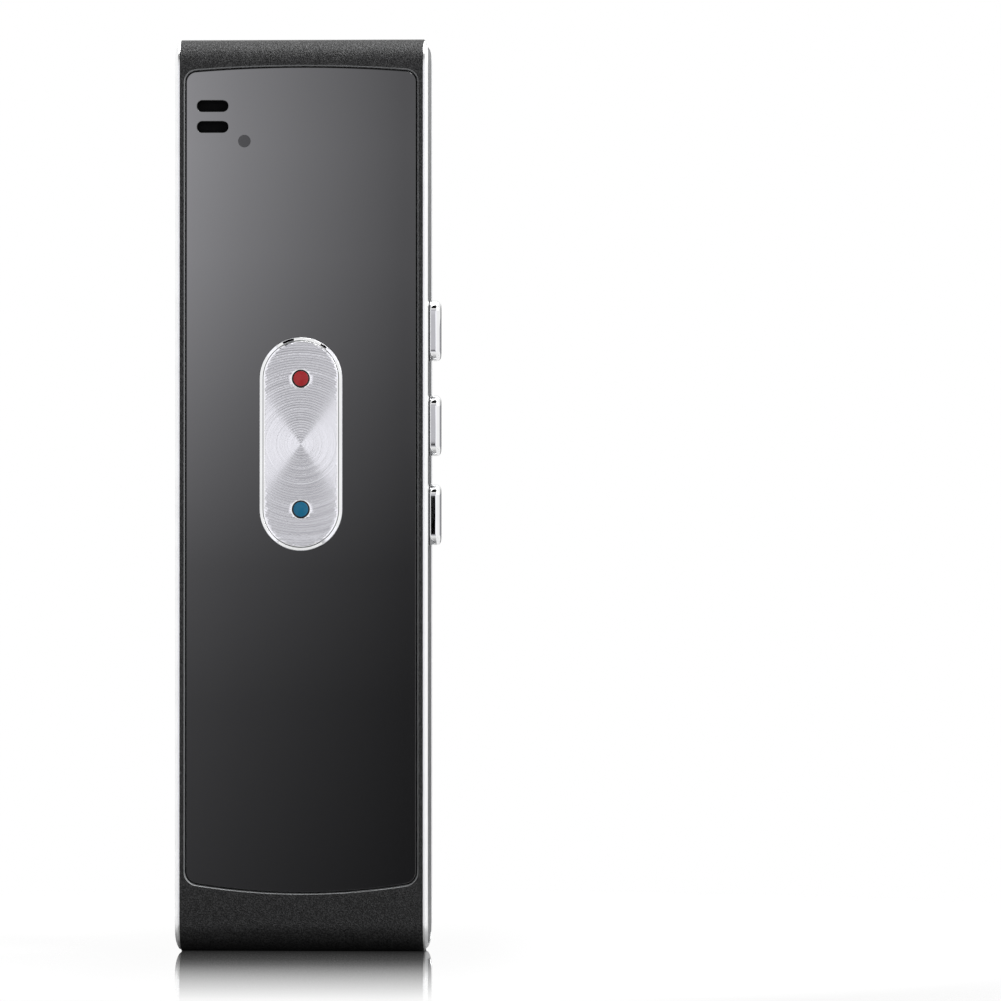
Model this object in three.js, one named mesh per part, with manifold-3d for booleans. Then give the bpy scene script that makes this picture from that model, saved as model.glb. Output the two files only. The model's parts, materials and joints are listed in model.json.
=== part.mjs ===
// Handheld translator in millimetres: X to the right seen from the front, the glass faces -Y, Z up.
// The body stands on its bottom end, and the origin is at the middle of the bottom of its bounding box.
// Depths are levels: a level is a distance in front of the body's mid plane, so level L lies at y = -L.
import * as THREE from "three";
import { mergeVertices } from "three/addons/utils/BufferGeometryUtils.js";
import Module from "manifold-3d";

const wasm = await Module();
wasm.setup();

// Body
const bodyHeight = 140;
const bodyThickness = 13;
const shellWidth = 37.3;
const endRadius = 4.3;
const sideWall = 2;
const endWall = 1.4;
const frontWall = 1.2;
const rearWall = 1.2;
const lipThickness = 0.6;
const lipDepth = 1;

// Fits
const seatGap = 0.02;
const partingGap = 0.05;
const slideGap = 0.12;
const easyGap = 0.3;
const cutOverrun = 1;

// Glass panel and what shows through it
const panelThickness = 0.8;
const panelSideMargin = 1.05;
const panelTopMargin = 4.55;
const panelBottomMargin = 9.27;
const panelTopRise = 0.75;
const panelBottomRise = 1.6;
const panelTopRadius = 1.6;
const panelBottomRadius = 1.8;
const panelGap = 0.2;
const rimChamfer = 0.2;
const adhesiveThickness = 0.16;
const adhesiveMargin = 0.7;
const micSlotLength = 4.77;
const micSlotHeight = 1.7;
const micSlotRadius = 0.8;
const micSlotPitch = 3.2;
const micFromTop = 12;
const micFromSide = 5.05;
const micMeshMargin = 0.9;
const micMeshThickness = 0.3;
const micPortRadius = 0.8;
const indicatorDiameter = 1.88;
const indicatorFromTop = 15.8;
const indicatorFromSide = 9.95;
const indicatorFit = 0.04;
const indicatorCollar = 0.6;

// Rocker key
const keyFromTop = 62.2;
const keyRingWidth = 12.6;
const keyRingHeight = 32.6;
const keyRingBand = 0.42;
const keyRingProud = 0.3;
const keyRingRounding = 0.15;
const keyRingFit = 0.05;
const keyFlangeReach = 0.8;
const keyFlangeRebate = 0.5;
const keyGap = 0.12;
const keyFaceChamfer = 0.25;
const keyFaceThickness = 0.6;
const keyFaceProud = 0.4;
const keyBaseRoom = 0.3;
const dotOffset = 10;
const dotDiameter = 2.56;
const dotFit = 0.1;
const dotRecess = 0.12;
const dotDome = 0.15;
const pivotDrop = 0.7;
const pivotPinRadius = 0.5;
const pivotRunningGap = 0.06;
const pivotPressGap = 0.03;
const hubWidth = 6;
const hubWall = 0.39;
const earWidth = 4.3;
const earHeight = 3;
const earWall = 0.4;

// Key switches on the board
const keySwitchSize = 3.6;
const keySwitchHeight = 1.1;
const plungerRadius = 0.6;
const plungerWellGap = 0.1;
const plungerContactGap = 0.05;
const plungerDepth = 1.25;
const switchFloor = 0.18;

// Side frames and their inserts
const frameProud = 0.75;
const frameInset = 0.2;
const frameChamfer = 0.45;
const frameBand = 1;
const frameEndRelief = 2.8;
const insertGap = 0.1;
const insertSetback = 0.1;
const insertLip = 0.4;
const insertLipThickness = 0.28;
const pegRadius = 0.8;
const pegReach = 1;
const pegFromBottom = [20, 50];
const pegFromTop = 22;

// Side buttons and their switches
const buttonWidth = 3.6;
const buttonLength = 9.4;
const buttonEndFlat = 0.1;
const buttonProud = 1.7;
const buttonCrown = 0.75;
const buttonFlangeReach = 0.8;
const buttonFlangeThickness = 0.5;
const buttonFlangeGap = 0.08;
const buttonTravelRoom = 0.6;
const buttonSlotWall = 0.8;
const buttonsFromTop = [44.7, 59.3, 73];
const stemWidth = 1.6;
const stemLength = 3.2;
const stemRadius = 0.3;
const stemReach = 0.3;
const stemContactGap = 0.05;
const sideSwitchDepth = 2.8;
const sideSwitchHeight = 2.8;
const sideSwitchLength = 6.5;
const sideSwitchSetback = 0.85;
const sideSwitchWell = 1.1;
const sideSwitchWellRoom = 0.5;

// Board
const boardThickness = 1;
const boardStandoff = 1.5;
const boardSideGap = 0.45;
const boardBottomGap = 1.6;
const boardTopMargin = 9.2;
const boardNotchHeight = 12;
const boardNotchWidth = 5.7;
const boardCornerRadius = 1;
const chipEdge = 0.15;

// Speaker and grille
const grilleRows = [6, 8, 10, 10, 10, 10, 10, 10, 8, 6];
const grillePitch = 2.74;
const grilleHoleRadius = 0.55;
const grilleFromTop = 29.6;
const speakerSideRoom = 1.65;
const speakerMeshThickness = 0.1;
const speakerGasketThickness = 0.5;
const speakerGasketWidth = 0.8;
const speakerFlangeThickness = 1;
const speakerFlangeWidth = 3;
const speakerDepth = 3.64;
const speakerWall = 0.8;
const speakerLedge = 1.2;
const speakerConeThickness = 0.25;
const speakerDomeShare = 0.35;
const speakerMagnetShare = 0.62;
const speakerBoardRoom = 0.5;
const speakerRibThickness = 0.8;
const speakerRibHeight = 2;
const pocketGap = 0.15;

// Battery
const batterySideRoom = 1.65;
const batteryBottom = 15;
const batteryTopRoom = 9;
const batteryBoardRoom = 2.06;
const batteryRadius = 1.5;
const batteryTapeThickness = 0.2;
const batteryTapeMargin = 4;
const batteryRibThickness = 0.7;
const batteryRibHeight = 2;
const batteryRibMargin = 6;
const leadRadius = 0.4;
const leadSpacing = 1.6;
const connectorWidth = 5;
const connectorDepth = 1.5;
const connectorLength = 3.5;
const connectorFromSide = 10;
const connectorAboveBattery = 3.5;

// Charging port
const portWidth = 7.5;
const portHeight = 2.6;
const portRadius = 0.8;
const portWall = 0.3;
const portRecess = 0.5;
const portLength = 5.5;
const portTongueWidth = 3.8;
const portTongueThickness = 0.6;
const portTongueRecess = 0.7;
const portBackWall = 1.2;

// Screws
const housingScrewRadius = 0.6;
const housingScrewHeadRadius = 1.3;
const housingScrewHeadHeight = 0.75;
const housingScrewLength = 8.1;
const housingScrewHeadDepth = 0.9;
const boardScrewLength = 2.8;
const boardScrewHeadRadius = 1.2;
const boardScrewHeadHeight = 0.65;
const screwDriveRadius = 0.5;
const screwDriveDepth = 0.35;
const threadGap = 0.02;
const boltRoom = 0.15;
const pilotRoom = 0.2;
const postRadius = 1.8;
const standoffRadius = 1.7;
const screwFromWall = 3.05;
const topScrewsFromTop = 6.6;
const bottomScrewsFromBottom = 11.6;
const boardScrewFromWall = 2.65;
const upperBoardScrewsFromTop = 36;
const lowerBoardScrewsFromBottom = 22;

// Chips, and their places as shares of the room between the charging port and the lower key switch
const shieldSize = { width: 14, height: 14, thickness: 1.2 };
const shieldRoomShare = 0.6;
const memorySize = { width: 8, height: 10, thickness: 0.9 };
const memoryAcross = -4.5;
const memoryRoomShare = 0.2;
const chargerSize = { width: 4, height: 4, thickness: 0.8 };
const chargerAcross = 6;
const chargerRoomShare = 0.1;
const amplifierSize = { width: 5, height: 5, thickness: 0.9 };
const amplifierBelowSpeaker = 5;
const microphoneSize = { width: 3.8, height: 3, thickness: 1 };
const microphoneBootRadius = 1.5;
const ledSize = { width: 1.6, height: 0.9, thickness: 0.6 };

// Steps of arcs and turned pieces
const cornerSteps = 6;
const smallCornerSteps = 3;
const buttonCornerSteps = 3;
const halfTurnSteps = 12;
const edgeSteps = 8;
const speakerSteps = 20;
const roundSteps = 12;
const screwSteps = 8;
const grilleHoleSteps = 8;
const leadSteps = 6;
const leadSides = 8;

// Levels worked out from the sizes above
const frontFace = bodyThickness / 2;
const rearFace = -bodyThickness / 2;
const panelBack = frontFace - panelThickness;
const wallFront = panelBack - adhesiveThickness - 2 * seatGap;
const wallBack = wallFront - frontWall;
const boardFront = wallBack - boardStandoff;
const boardBack = boardFront - boardThickness;
const rearInside = rearFace + rearWall;
const partingLevel = -(buttonWidth / 2 + buttonSlotWall);
const keyFaceTop = frontFace + keyFaceProud;
const keyFaceBottom = keyFaceTop - keyFaceThickness;
const keyBaseTop = keyFaceBottom - seatGap;
const keyBaseBottom = wallBack + keyBaseRoom;
const pivotLevel = keyBaseBottom - pivotDrop;

// Places worked out from the sizes above
const shellSide = shellWidth / 2;
const innerSide = shellSide - sideWall;
const frameSide = shellSide + frameProud;
const buttonSide = frameSide + buttonProud;
const buttonRadius = (buttonWidth - buttonEndFlat) / 2;
const keyHeight = bodyHeight - keyFromTop;
const buttonHeights = buttonsFromTop.map((drop) => bodyHeight - drop);
const grilleHeight = bodyHeight - grilleFromTop;
const micPlace = { x: micFromSide - shellSide, z: bodyHeight - micFromTop };
const indicatorPlace = { x: indicatorFromSide - shellSide, z: bodyHeight - indicatorFromTop };
const portLevel = boardBack - seatGap - portHeight / 2;
const boardSide = innerSide - boardSideGap;
const boardBottom = endWall + boardBottomGap;
const boardTop = bodyHeight - boardTopMargin;
const speakerRadius = innerSide - speakerSideRoom;
const batterySide = innerSide - batterySideRoom;
const middleScrewHeight = (buttonHeights[1] + buttonHeights[2]) / 2;
const batteryTop = middleScrewHeight - postRadius - batteryTopRoom;
const centreShift = -buttonProud / 2;

const finishes = {
  shell: { color: 0x3a3b3d, roughness: 0.55, metalness: 0.6 },
  silver: { color: 0xc9cbcd, roughness: 0.22, metalness: 1 },
  chrome: { color: 0xdadcde, roughness: 0.08, metalness: 1 },
  insert: { color: 0x77797c, roughness: 0.6, metalness: 0.5 },
  glass: { color: 0x15171a, roughness: 0.05, metalness: 0 },
  keyFace: { color: 0xd2d3d5, roughness: 0.3, metalness: 1 },
  redDot: { color: 0xc4202a, roughness: 0.25, metalness: 0 },
  blueDot: { color: 0x1c7fa6, roughness: 0.25, metalness: 0 },
  darkPlastic: { color: 0x1b1c1e, roughness: 0.6, metalness: 0 },
  lens: { color: 0x2a2d30, roughness: 0.1, metalness: 0 },
  mesh: { color: 0x0c0d0e, roughness: 0.8, metalness: 0.2 },
  rubber: { color: 0x101112, roughness: 0.9, metalness: 0 },
  adhesive: { color: 0x1a1a1a, roughness: 0.8, metalness: 0 },
  steel: { color: 0xa9abad, roughness: 0.35, metalness: 1 },
  board: { color: 0x14442c, roughness: 0.5, metalness: 0 },
  chip: { color: 0x161618, roughness: 0.45, metalness: 0 },
  ledBody: { color: 0xe6e4d8, roughness: 0.3, metalness: 0 },
  cone: { color: 0x26272a, roughness: 0.7, metalness: 0 },
  cell: { color: 0xb4b8bb, roughness: 0.45, metalness: 0.4 },
  tape: { color: 0xd8d4c4, roughness: 0.7, metalness: 0 },
  connector: { color: 0xe8e4d6, roughness: 0.5, metalness: 0 },
  redLead: { color: 0xb02020, roughness: 0.55, metalness: 0 },
  blackLead: { color: 0x151515, roughness: 0.55, metalness: 0 },
};

const root = new THREE.Group();
root.name = "handheld_translator";
root.position.x = centreShift;

// Outlines, each a list of points taken anticlockwise

function arcPoints(centre, radii, from, to, steps) {
  const points = [];
  for (let i = 0; i <= steps; i++) {
    const angle = from + ((to - from) * i) / steps;
    const x = centre.x + radii.x * Math.cos(angle);
    const y = centre.y + radii.y * Math.sin(angle);
    points.push(new THREE.Vector2(x, y));
  }
  return points;
}

// A rectangle with round or elliptical corners.
function roundedOutline(width, height, radii, centre = { x: 0, y: 0 }, steps = smallCornerSteps) {
  const round = typeof radii === "number" ? { x: radii, y: radii } : radii;
  const across = width / 2 - round.x;
  const up = height / 2 - round.y;
  const corners = [
    { x: across, y: up },
    { x: -across, y: up },
    { x: -across, y: -up },
    { x: across, y: -up },
  ];
  return corners.flatMap((corner, i) => {
    const middle = { x: centre.x + corner.x, y: centre.y + corner.y };
    const start = (i * Math.PI) / 2;
    return arcPoints(middle, round, start, start + Math.PI / 2, steps);
  });
}

// An upright slot with half-round ends.
function stadiumOutline(width, height, centre = { x: 0, y: 0 }) {
  const round = { x: width / 2, y: width / 2 };
  const up = (height - width) / 2;
  const upper = { x: centre.x, y: centre.y + up };
  const lower = { x: centre.x, y: centre.y - up };
  return [
    ...arcPoints(upper, round, 0, Math.PI, halfTurnSteps),
    ...arcPoints(lower, round, Math.PI, 2 * Math.PI, halfTurnSteps),
  ];
}

function circleOutline(radius, steps, centre = { x: 0, y: 0 }) {
  return arcPoints(centre, { x: radius, y: radius }, 0, 2 * Math.PI, steps).slice(0, -1);
}

// The body seen from the side, in y and z, drawn in by an inset.
function profileOutline(inset) {
  return roundedOutline(
    bodyThickness - 2 * inset,
    bodyHeight - 2 * inset,
    endRadius - inset,
    { x: 0, y: bodyHeight / 2 },
    cornerSteps,
  );
}

// One bowed end of the panel, from its right side to its left: up is 1 at the top and -1 at the bottom.
function bowedEnd(side, apex, rise, radius, up) {
  const bow = (x) => apex - up * rise * (x / side) ** 2;
  const slope = Math.atan((2 * rise * (side - radius)) / side ** 2);
  const centreY = bow(side - radius) - (up * radius) / Math.cos(slope);
  const turn = Math.PI / 2 - slope;
  const round = { x: radius, y: up * radius };
  const right = arcPoints({ x: side - radius, y: centreY }, round, 0, turn, smallCornerSteps);
  const reach = right[right.length - 1].x;
  const edge = [];
  for (let i = 1; i < edgeSteps; i++) {
    const x = reach - (2 * reach * i) / edgeSteps;
    edge.push(new THREE.Vector2(x, bow(x)));
  }
  const left = right.map((p) => new THREE.Vector2(-p.x, p.y)).reverse();
  return [...right, ...edge, ...left];
}

// The panel's outline, grown by a distance.
function panelOutline(grow) {
  const side = shellSide - panelSideMargin + grow;
  const top = bowedEnd(
    side,
    bodyHeight - panelTopMargin + grow,
    panelTopRise,
    panelTopRadius + grow,
    1,
  );
  const bottom = bowedEnd(
    side,
    panelBottomMargin - grow,
    panelBottomRise,
    panelBottomRadius + grow,
    -1,
  );
  return [...top, ...bottom.reverse()];
}

// Solids

function solidOf(geometry) {
  geometry.deleteAttribute("normal");
  geometry.deleteAttribute("uv");
  const merged = mergeVertices(geometry);
  return new wasm.Manifold(
    new wasm.Mesh({
      numProp: 3,
      vertProperties: merged.attributes.position.array,
      triVerts: new Uint32Array(merged.index.array),
    }),
  );
}

function join(first, ...others) {
  return others.reduce((sum, other) => sum.add(other), first);
}

function cut(first, ...others) {
  return others.reduce((left, other) => left.subtract(other), first);
}

// A solid lofted through outlines of equal point counts, each at its own level, lowest first.
function loftGeometry(layers) {
  const count = layers[0].outline.length;
  const positions = layers.flatMap(({ outline, level }) =>
    outline.flatMap((point) => [point.x, point.y, level]),
  );
  const faces = [];
  for (let layer = 0; layer < layers.length - 1; layer++) {
    for (let i = 0; i < count; i++) {
      const a = layer * count + i;
      const b = layer * count + ((i + 1) % count);
      faces.push(a, b, b + count, a, b + count, a + count);
    }
  }
  const last = (layers.length - 1) * count;
  const lowCap = THREE.ShapeUtils.triangulateShape(layers[0].outline, []);
  const highCap = THREE.ShapeUtils.triangulateShape(layers[layers.length - 1].outline, []);
  lowCap.forEach(([a, b, c]) => faces.push(a, c, b));
  highCap.forEach(([a, b, c]) => faces.push(last + a, last + b, last + c));
  const geometry = new THREE.BufferGeometry();
  geometry.setAttribute("position", new THREE.Float32BufferAttribute(positions, 3));
  geometry.setIndex(faces);
  return geometry;
}

function prismGeometry(outline, from, to) {
  const geometry = new THREE.ExtrudeGeometry(new THREE.Shape(outline), {
    depth: to - from,
    bevelEnabled: false,
  });
  return geometry.translate(0, 0, from);
}

// Front solids have outlines in x and z, and levels along -Y.
function front(geometry) {
  return solidOf(geometry.rotateX(Math.PI / 2));
}

function frontPrism(outline, from, to) {
  return front(prismGeometry(outline, from, to));
}

function frontLoft(layers) {
  return front(loftGeometry(layers));
}

// Side solids have outlines in y and z, and run along x: side is 1 on the right and -1 on the left.
const alongX = new THREE.Matrix4().makeBasis(
  new THREE.Vector3(0, 1, 0),
  new THREE.Vector3(0, 0, 1),
  new THREE.Vector3(1, 0, 0),
);

function sideLoft(layers, side = 1) {
  const placed = layers.map(({ outline, level }) => ({ outline, level: level * side }));
  const ordered = side > 0 ? placed : placed.reverse();
  return solidOf(loftGeometry(ordered).applyMatrix4(alongX));
}

function sidePrism(outline, from, to, side = 1) {
  const low = side > 0 ? from : -to;
  const high = side > 0 ? to : -from;
  return solidOf(prismGeometry(outline, low, high).applyMatrix4(alongX));
}

// A turned piece whose axis runs front to back: the profile holds radius and level pairs, lowest first.
function turned(profile, x, z, steps) {
  const points = profile.map(([radius, level]) => new THREE.Vector2(radius, level));
  const geometry = new THREE.LatheGeometry(points, steps).rotateX(Math.PI);
  return solidOf(geometry.translate(x, 0, z));
}

function frontDisc(radius, from, to, x, z, steps = roundSteps) {
  return frontPrism(circleOutline(radius, steps, { x, y: z }), from, to);
}

function box(from, to) {
  const size = [to.x - from.x, to.y - from.y, to.z - from.z];
  const geometry = new THREE.BoxGeometry(...size);
  geometry.translate((from.x + to.x) / 2, (from.y + to.y) / 2, (from.z + to.z) / 2);
  return solidOf(geometry);
}

// A box given by its x, level and z ranges.
function block([x0, x1], [low, high], [z0, z1]) {
  return box({ x: x0, y: -high, z: z0 }, { x: x1, y: -low, z: z1 });
}

function rod(radius, fromX, toX, level, z, steps = roundSteps) {
  return sidePrism(circleOutline(radius, steps, { x: -level, y: z }), fromX, toX);
}

// Adds a solid to the model as a named mesh with a finish of its own.
function addPiece(name, solid, finish, parent = root, place = { x: 0, y: 0, z: 0 }) {
  const made = solid.getMesh();
  const count = made.numVert;
  const positions = new Float32Array(count * 3);
  for (let i = 0; i < count; i++) {
    const start = i * made.numProp;
    positions.set(made.vertProperties.subarray(start, start + 3), i * 3);
  }
  const geometry = new THREE.BufferGeometry();
  geometry.setAttribute("position", new THREE.BufferAttribute(positions, 3));
  geometry.setIndex(new THREE.BufferAttribute(new Uint32Array(made.triVerts), 1));
  geometry.computeVertexNormals();
  const mesh = new THREE.Mesh(geometry, new THREE.MeshStandardMaterial(finishes[finish]));
  mesh.name = name;
  mesh.position.set(place.x, place.y, place.z);
  parent.add(mesh);
  return mesh;
}

// Screw places, in x and z

const housingScrewX = innerSide - screwFromWall;
const housingScrewPlaces = [
  bodyHeight - topScrewsFromTop,
  middleScrewHeight,
  bottomScrewsFromBottom,
].flatMap((z) => [
  { x: -housingScrewX, z },
  { x: housingScrewX, z },
]);
const boardScrewX = innerSide - boardScrewFromWall;
const boardScrewPlaces = [
  bodyHeight - upperBoardScrewsFromTop,
  lowerBoardScrewsFromBottom,
].flatMap((z) => [
  { x: -boardScrewX, z },
  { x: boardScrewX, z },
]);

// Housings

function hollowShell() {
  const outer = sidePrism(profileOutline(0), -shellSide, shellSide);
  const depth = wallBack - rearInside;
  const middle = { x: -(wallBack + rearInside) / 2, y: bodyHeight / 2 };
  const height = bodyHeight - 2 * endWall;
  const inside = roundedOutline(depth, height, endRadius - endWall, middle, cornerSteps);
  return cut(outer, sidePrism(inside, -innerSide, innerSide));
}

// Everything in front of a level, or behind it.
function halfSpace(from, to) {
  const side = shellSide + cutOverrun;
  return block([-side, side], [from, to], [-cutOverrun, bodyHeight + cutOverrun]);
}

function keyOutline(grow) {
  const width = keyRingWidth + 2 * grow;
  const height = keyRingHeight + 2 * grow;
  return stadiumOutline(width, height, { x: 0, y: keyHeight });
}

function micSlotOutline(row, grow) {
  const z = micPlace.z + (row * micSlotPitch) / 2;
  const width = micSlotLength + 2 * grow;
  const height = micSlotHeight + 2 * grow;
  const middle = { x: micPlace.x, y: z };
  return roundedOutline(width, height, micSlotRadius + grow, middle, cornerSteps);
}

function micMeshOutline(grow) {
  const width = micSlotLength + 2 * (micMeshMargin + grow);
  const height = micSlotPitch + micSlotHeight + 2 * (micMeshMargin + grow);
  return roundedOutline(width, height, micMeshMargin, { x: micPlace.x, y: micPlace.z });
}

function panelSeatCuts() {
  const recess = frontPrism(panelOutline(panelGap), wallFront, frontFace + cutOverrun);
  const chamfer = frontLoft([
    { outline: panelOutline(panelGap), level: frontFace - rimChamfer },
    { outline: panelOutline(panelGap + rimChamfer), level: frontFace },
    { outline: panelOutline(panelGap + rimChamfer), level: frontFace + cutOverrun },
  ]);
  return [recess, chamfer];
}

function keyWindowCuts() {
  const top = wallFront + cutOverrun;
  const rebate = keyOutline(keyFlangeReach + slideGap);
  return [
    frontPrism(keyOutline(-keyRingBand), wallBack - cutOverrun, top),
    frontPrism(rebate, wallFront - keyFlangeRebate, top),
  ];
}

function soundAndLightCuts() {
  const top = wallFront + cutOverrun;
  const bottom = wallBack - cutOverrun;
  const pocketFloor = wallFront - micMeshThickness - 2 * seatGap;
  const collar = indicatorDiameter / 2 + indicatorCollar + slideGap;
  const { x, z } = indicatorPlace;
  return [
    frontPrism(micMeshOutline(slideGap), pocketFloor, top),
    frontDisc(micPortRadius, bottom, top, micPlace.x, micPlace.z),
    frontDisc(indicatorDiameter / 2, bottom, top, x, z),
    frontDisc(collar, wallFront - keyFlangeRebate, top, x, z),
  ];
}

function keyEars() {
  const inner = hubWidth / 2 + easyGap;
  const heights = [keyHeight - earHeight / 2, keyHeight + earHeight / 2];
  const levels = [pivotLevel - pivotPinRadius - earWall, wallBack + seatGap];
  return [
    block([inner, inner + earWidth], levels, heights),
    block([-inner - earWidth, -inner], levels, heights),
  ];
}

function housingPosts() {
  return housingScrewPlaces.map(({ x, z }) =>
    frontDisc(postRadius, seatGap, wallBack + seatGap, x, z),
  );
}

function boardStandoffs() {
  return boardScrewPlaces.map(({ x, z }) =>
    frontDisc(standoffRadius, boardFront + seatGap, wallBack + seatGap, x, z),
  );
}

function frontScrewCuts() {
  const bore = housingScrewRadius + boltRoom;
  const head = housingScrewHeadRadius + boltRoom;
  const floor = wallFront - housingScrewHeadDepth;
  const housing = housingScrewPlaces.flatMap(({ x, z }) => [
    frontDisc(bore, -cutOverrun, wallFront + cutOverrun, x, z, screwSteps),
    frontDisc(head, floor, wallFront + cutOverrun, x, z),
  ]);
  const pilotTop = boardBack + boardScrewLength + pilotRoom;
  const board = boardScrewPlaces.map(({ x, z }) =>
    frontDisc(housingScrewRadius + threadGap, boardBack, pilotTop, x, z, screwSteps),
  );
  return [...housing, ...board];
}

function buttonWallCuts() {
  const flangeBack = shellSide + seatGap - buttonFlangeGap - buttonFlangeThickness;
  const floor = flangeBack - buttonTravelRoom;
  const width = buttonWidth + 2 * slideGap;
  const length = buttonLength + 2 * (buttonFlangeReach + slideGap);
  const holeWidth = stemWidth + 2 * slideGap;
  const holeLength = stemLength + 2 * slideGap;
  return buttonHeights.flatMap((z) => {
    const middle = { x: 0, y: z };
    const recess = roundedOutline(width, length, buttonRadius, middle, buttonCornerSteps);
    const hole = roundedOutline(holeWidth, holeLength, stemRadius, middle, buttonCornerSteps);
    return [
      sidePrism(recess, floor, shellSide + cutOverrun),
      sidePrism(hole, innerSide - cutOverrun, shellSide),
    ];
  });
}

const pegHeights = [...pegFromBottom, bodyHeight - pegFromTop];

// The pegs of a side insert, or with a clearance the blind holes that take them.
function sidePegs(side, clearance) {
  const near = shellSide - pegReach - clearance;
  const far = shellSide + (clearance ? cutOverrun : 2 * seatGap);
  return pegHeights.map((height) => {
    const outline = circleOutline(pegRadius + clearance, screwSteps, { x: 0, y: height });
    return sidePrism(outline, near, far, side);
  });
}

function portOutline(grow) {
  const middle = { x: 0, y: -portLevel };
  const width = portWidth + 2 * grow;
  return roundedOutline(width, portHeight + 2 * grow, portRadius + grow, middle);
}

function portOpening() {
  return solidOf(prismGeometry(portOutline(slideGap), -cutOverrun, endWall + cutOverrun));
}

function frontHousing() {
  const shell = hollowShell().intersect(halfSpace(partingLevel, frontFace + cutOverrun));
  const filled = join(shell, ...keyEars(), ...housingPosts(), ...boardStandoffs());
  const pinReach = hubWidth / 2 + easyGap + earWidth + cutOverrun;
  const pinBore = pivotPinRadius + pivotPressGap;
  return cut(
    filled,
    ...panelSeatCuts(),
    ...keyWindowCuts(),
    ...soundAndLightCuts(),
    ...frontScrewCuts(),
    ...buttonWallCuts(),
    ...sidePegs(1, slideGap),
    ...sidePegs(-1, slideGap),
    portOpening(),
    rod(pinBore, -pinReach, pinReach, pivotLevel, keyHeight),
  );
}

function grilleHoles() {
  const holes = [];
  grilleRows.forEach((count, row) => {
    const z = grilleHeight + ((grilleRows.length - 1) / 2 - row) * grillePitch;
    for (let i = 0; i < count; i++) {
      const x = (i - (count - 1) / 2) * grillePitch;
      const low = rearFace - cutOverrun;
      holes.push(
        frontDisc(grilleHoleRadius, low, rearInside + cutOverrun, x, z, grilleHoleSteps),
      );
    }
  });
  return holes;
}

function ring(outerOutline, innerOutline, from, to) {
  return cut(
    frontPrism(outerOutline, from, to),
    frontPrism(innerOutline, from - cutOverrun, to + cutOverrun),
  );
}

// The lip of the rear housing that slides into the front one.
function rearLip() {
  const outline = (inset) =>
    roundedOutline(2 * (innerSide - inset), bodyHeight - 2 * (endWall + inset), lipThickness, {
      x: 0,
      y: bodyHeight / 2,
    });
  const inner = outline(slideGap + lipThickness);
  const seam = partingLevel - partingGap;
  return join(
    ring(outline(-seatGap), inner, seam - lipDepth, seam),
    ring(outline(slideGap), inner, seam - seatGap, seam + lipDepth),
  );
}

function speakerRib() {
  const centre = { x: 0, y: grilleHeight };
  const inner = speakerRadius + pocketGap;
  const outer = inner + speakerRibThickness;
  return ring(
    circleOutline(outer, speakerSteps, centre),
    circleOutline(inner, speakerSteps, centre),
    rearInside - seatGap,
    rearInside + speakerRibHeight,
  );
}

function batteryRibs() {
  const inner = batterySide + pocketGap;
  const levels = [rearInside - seatGap, rearInside + batteryRibHeight];
  const heights = [batteryBottom + batteryRibMargin, batteryTop - batteryRibMargin];
  const across = [-batterySide + batteryRibMargin, batterySide - batteryRibMargin];
  const above = batteryTop + pocketGap;
  const below = batteryBottom - pocketGap;
  return [
    block([inner, inner + batteryRibThickness], levels, heights),
    block([-inner - batteryRibThickness, -inner], levels, heights),
    block(across, levels, [above, above + batteryRibThickness]),
    block(across, levels, [below - batteryRibThickness, below]),
  ];
}

function rearBosses() {
  return housingScrewPlaces.map(({ x, z }) =>
    frontDisc(postRadius, rearInside - seatGap, 0, x, z),
  );
}

function pilotHoles() {
  const radius = housingScrewRadius + threadGap;
  const tip = wallFront - housingScrewHeadDepth - housingScrewLength - pilotRoom;
  return housingScrewPlaces.map(({ x, z }) =>
    frontDisc(radius, tip, cutOverrun, x, z, screwSteps),
  );
}

function rearHousing() {
  const back = partingLevel - partingGap;
  const shell = hollowShell().intersect(halfSpace(rearFace - cutOverrun, back));
  const filled = join(shell, rearLip(), speakerRib(), ...batteryRibs(), ...rearBosses());
  return cut(filled, ...grilleHoles(), ...pilotHoles());
}

// Glass panel, its adhesive, the microphone mesh and the indicator lens

function panelOpenings(from, to, slotGrow, ringGrow, lensRadius) {
  return [
    frontPrism(keyOutline(ringGrow), from, to),
    frontPrism(micSlotOutline(1, slotGrow), from, to),
    frontPrism(micSlotOutline(-1, slotGrow), from, to),
    frontDisc(lensRadius, from, to, indicatorPlace.x, indicatorPlace.z),
  ];
}

function frontPanel() {
  const sheet = frontPrism(panelOutline(0), panelBack, frontFace);
  const low = panelBack - cutOverrun;
  const high = frontFace + cutOverrun;
  return cut(sheet, ...panelOpenings(low, high, 0, keyRingFit, indicatorDiameter / 2));
}

function panelAdhesive() {
  const low = wallFront + seatGap;
  const high = low + adhesiveThickness;
  const sheet = frontPrism(panelOutline(-adhesiveMargin), low, high);
  const lens = indicatorDiameter / 2 + indicatorCollar + slideGap;
  const from = low - cutOverrun;
  const to = high + cutOverrun;
  return cut(sheet, ...panelOpenings(from, to, slideGap, keyFlangeReach + slideGap, lens));
}

function microphoneMesh() {
  const top = wallFront - seatGap;
  return frontPrism(micMeshOutline(0), top - micMeshThickness, top);
}

function indicatorLens() {
  const radius = indicatorDiameter / 2 - indicatorFit;
  const collar = radius + indicatorCollar;
  const seat = wallFront - keyFlangeRebate + seatGap;
  const tip = boardFront + seatGap + ledSize.thickness + slideGap;
  const profile = [
    [0, tip],
    [radius, tip],
    [radius, seat],
    [collar, seat],
    [collar, wallFront],
    [radius, wallFront],
    [radius, frontFace - seatGap],
    [0, frontFace - seatGap],
  ];
  return turned(profile, indicatorPlace.x, indicatorPlace.z, roundSteps);
}

// Rocker key

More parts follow.
